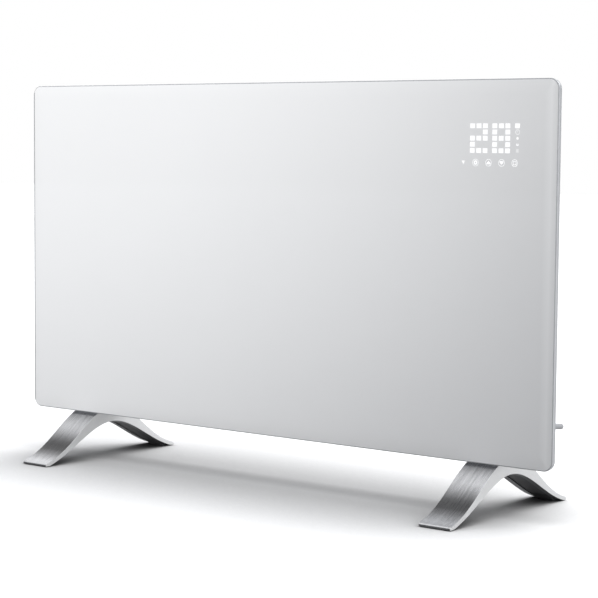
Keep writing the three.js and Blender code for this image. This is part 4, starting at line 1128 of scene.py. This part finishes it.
def bare_glass(name, dark, light, left_painted_shade=1.0):
    """The clear rim outside the print, and its ground side; the rim turned to the left can be
    given painted shade.
    """
    material, tree, wave, shader = new_finish(name, grain, Size=1 * mm, Depth=0.05)
    clear = vary(tree, wave, "Mottle", dark, light, shader, "Base Color")
    # Painted shade: the rim colour darkens as the surface turns to the left.
    low, high = left_rim_shade_facing
    reach = {"From Min": low, "From Max": high, "To Min": left_painted_shade}
    facing_for_painted_light = measure_along(tree, "Normal", "X", reach)
    multiply_colours(tree, clear, "Color", facing_for_painted_light, "Result", shader)
    shader.inputs["Roughness"].default_value = 0.45
    shader.inputs["Specular IOR Level"].default_value = 0.15
    return material


def glass_shape():
    shape = bmesh.new()
    sections = glass_sections()
    rings = [rounded_ring(shape, inset, y) for inset, y in sections]
    bands = bridge_rings(shape, rings)
    for (inset, _), band in zip(sections, bands):
        for face in band:
            if inset <= print_inset + weld:
                face.material_index = 1 if abs(face.normal.y) > ground_side_turn else 2
            elif inset <= left_print_inset + weld:
                at_left = face.calc_center_median().x < glass_low.x + left_print_inset
                face.material_index = 1 if at_left else 0
    return shape


glass_finishes = [
    printed_glass(),
    bare_glass("clear_rim", (0.39, 0.40, 0.415), (0.43, 0.44, 0.455), left_rim_painted_shade),
    bare_glass("ground_side", (0.48, 0.49, 0.51), (0.54, 0.55, 0.57)),
]
glass = make_piece("glass_panel", glass_shape(), glass_finishes)
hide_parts("front_glass")

# ---------------------------------------------- display and touch keys
# Light from the display board shows through windows in the white print: a two-digit figure
# of square dots, four small signs beside it, and a row of touch keys below.

lit_depth = 0.05 * mm
lit_lift = 0.03 * mm
dot_size = (6.5 * mm, 5.5 * mm)
dot_corner = 0.5 * mm
dot_corner_steps = 3
dot_pitch = (8.65 * mm, 7.0 * mm)
digit_pitch = 29.95 * mm
figure_left = 302.6 * mm
figure_top = 448.95 * mm
figure = {
    "2": ("###", "..#", "###", "#..", "###"),
    "8": ("###", "#.#", "###", "#.#", "###"),
    "degree": ("#",),
}
sign_column = 362.85 * mm
sign_bar = (3.6 * mm, 0.55 * mm)
sign_bar_pitch = 1.3 * mm
clock_ring = (2.9 * mm, 0.55 * mm)
clock_hand = (0.4 * mm, 1.6 * mm)
clock_hand_lift = 0.7 * mm
sun_radius = 1.65 * mm
moon_ring = (1.6 * mm, 1.1 * mm)
moon_gap = 4
key_row = 407.3 * mm
key_places = {"set": 307.3 * mm, "up": 324.8 * mm, "down": 342.2 * mm, "on": 359.6 * mm}
key_ring = (4.1 * mm, 0.40 * mm)
set_ring = (2.3 * mm, 1.05 * mm)
arrow_radius = 3.5 * mm
arrow_flat = 0.66
arrow_shift = 0.4 * mm
on_ring = (2.3 * mm, 0.5 * mm)
on_ray = (0.4 * mm, 1.2 * mm)
on_ray_reach = 3 * mm
link_place = 290.7 * mm
link_radius = 2.5 * mm
link_stretch = 1.2
link_lift = 0.6 * mm


def upright(x, z, turn=0.0):
    """Lays a flat shape against the front of the glass, turned in its own plane."""
    place = Matrix.Translation((x, glass_low.y - lit_lift, z))
    return place @ Matrix.Rotation(math.pi / 2, 4, "X") @ Matrix.Rotation(turn, 4, "Z")


def add_tile(shape, x, z, size, corner=0.0, turn=0.0):
    tile = add_square(shape, upright(x, z, turn) @ Matrix.Diagonal((*size, 1, 1)))
    if corner:
        round_off(shape, tile["verts"], corner, dot_corner_steps, "VERTICES")


def add_disc(shape, x, z, radius, segments=24, stretch=1.0, turn=0.0):
    spot = upright(x, z, turn) @ Matrix.Diagonal((1, stretch, 1, 1))
    bmesh.ops.create_circle(shape, cap_ends=True, segments=segments, radius=radius, matrix=spot)


def add_ring(shape, x, z, radius, line, segments=32, gap=0):
    """A ring of the given outer radius, with a number of its upper segments left out."""
    edges = []
    for size in (radius, radius - line):
        loop = bmesh.ops.create_circle(
            shape, cap_ends=False, segments=segments, radius=size, matrix=upright(x, z)
        )
        edges += {edge for vert in loop["verts"] for edge in vert.link_edges}
    band = bmesh.ops.bridge_loops(shape, edges=edges)["faces"]
    band.sort(key=lambda face: face.calc_center_median().z)
    if gap:
        bmesh.ops.delete(shape, geom=band[-gap:], context="FACES")


def lit_piece(name, shape, material):
    """Gives the flat signs their thin depth, into the surface of the glass."""
    drawn = bmesh.ops.extrude_face_region(shape, geom=shape.faces[:], use_keep_orig=True)
    move_drawn(shape, drawn, (0, lit_depth, 0))
    bmesh.ops.recalc_face_normals(shape, faces=shape.faces)
    return make_piece(name, shape, [material], crease=20)


def lit_window(name, strength):
    material, tree, cloud, shader = new_finish(
        name, grain, Size=0.3 * mm, Depth=0.02, Cloud=4 * mm
    )
    vary(tree, cloud, "Mottle", (0.97, 0.98, 1.0), (1.0, 1.0, 1.0), shader, "Emission Color")
    vary(tree, cloud, "Mottle", 0.10, 0.14, shader, "Base Color")
    shader.inputs["Emission Strength"].default_value = strength
    shader.inputs["Roughness"].default_value = 0.2
    return material


def figure_shape():
    shape = bmesh.new()
    for place, rows in enumerate(figure.values()):
        for down, row in enumerate(rows):
            for across, dot in enumerate(row):
                if dot == "#":
                    x = figure_left + place * digit_pitch + across * dot_pitch[0]
                    z = figure_top - down * dot_pitch[1]
                    add_tile(shape, x, z, dot_size, dot_corner)
    return shape


def sign_shape():
    """Timer, day, night and list, down the right of the figure."""
    shape = bmesh.new()
    rows = [figure_top - down * dot_pitch[1] for down in range(1, 5)]
    add_ring(shape, sign_column, rows[0], *clock_ring)
    add_tile(shape, sign_column, rows[0] + clock_hand_lift, clock_hand)
    add_disc(shape, sign_column, rows[1], sun_radius)
    add_ring(shape, sign_column, rows[2], *moon_ring, segments=24, gap=moon_gap)
    for step in (-1, 0, 1):
        add_tile(shape, sign_column, rows[3] + step * sign_bar_pitch, sign_bar)
    return shape


def key_shape():
    """A ring round each touch key, with the set, up, down and on signs in them."""
    shape = bmesh.new()
    for x in key_places.values():
        add_ring(shape, x, key_row, *key_ring)
    up, down, on = key_places["up"], key_places["down"], key_places["on"]
    add_ring(shape, key_places["set"], key_row, *set_ring)
    add_disc(shape, up, key_row - arrow_shift, arrow_radius, 3, arrow_flat)
    add_disc(shape, down, key_row + arrow_shift, arrow_radius, 3, arrow_flat, math.pi)
    add_ring(shape, on, key_row, *on_ring)
    for turn in range(4):
        angle = math.pi / 4 + turn * math.pi / 2
        x = on + on_ray_reach * math.sin(angle)
        z = key_row + on_ray_reach * math.cos(angle)
        add_tile(shape, x, z, on_ray, turn=-angle)
    return shape


def link_shape():
    """A small wedge on its point, to the left of the keys."""
    shape = bmesh.new()
    add_disc(shape, link_place, key_row + link_lift, link_radius, 3, link_stretch, math.pi)
    return shape


bright_window = lit_window("bright_window", 0.93)
key_window = lit_window("key_window", 1.12)
dim_window = lit_window("dim_window", 0.92)
lit_piece("figure_dots", figure_shape(), bright_window)
lit_piece("status_signs", sign_shape(), dim_window)
lit_piece("touch_keys", key_shape(), key_window)
lit_piece("link_sign", link_shape(), dim_window)
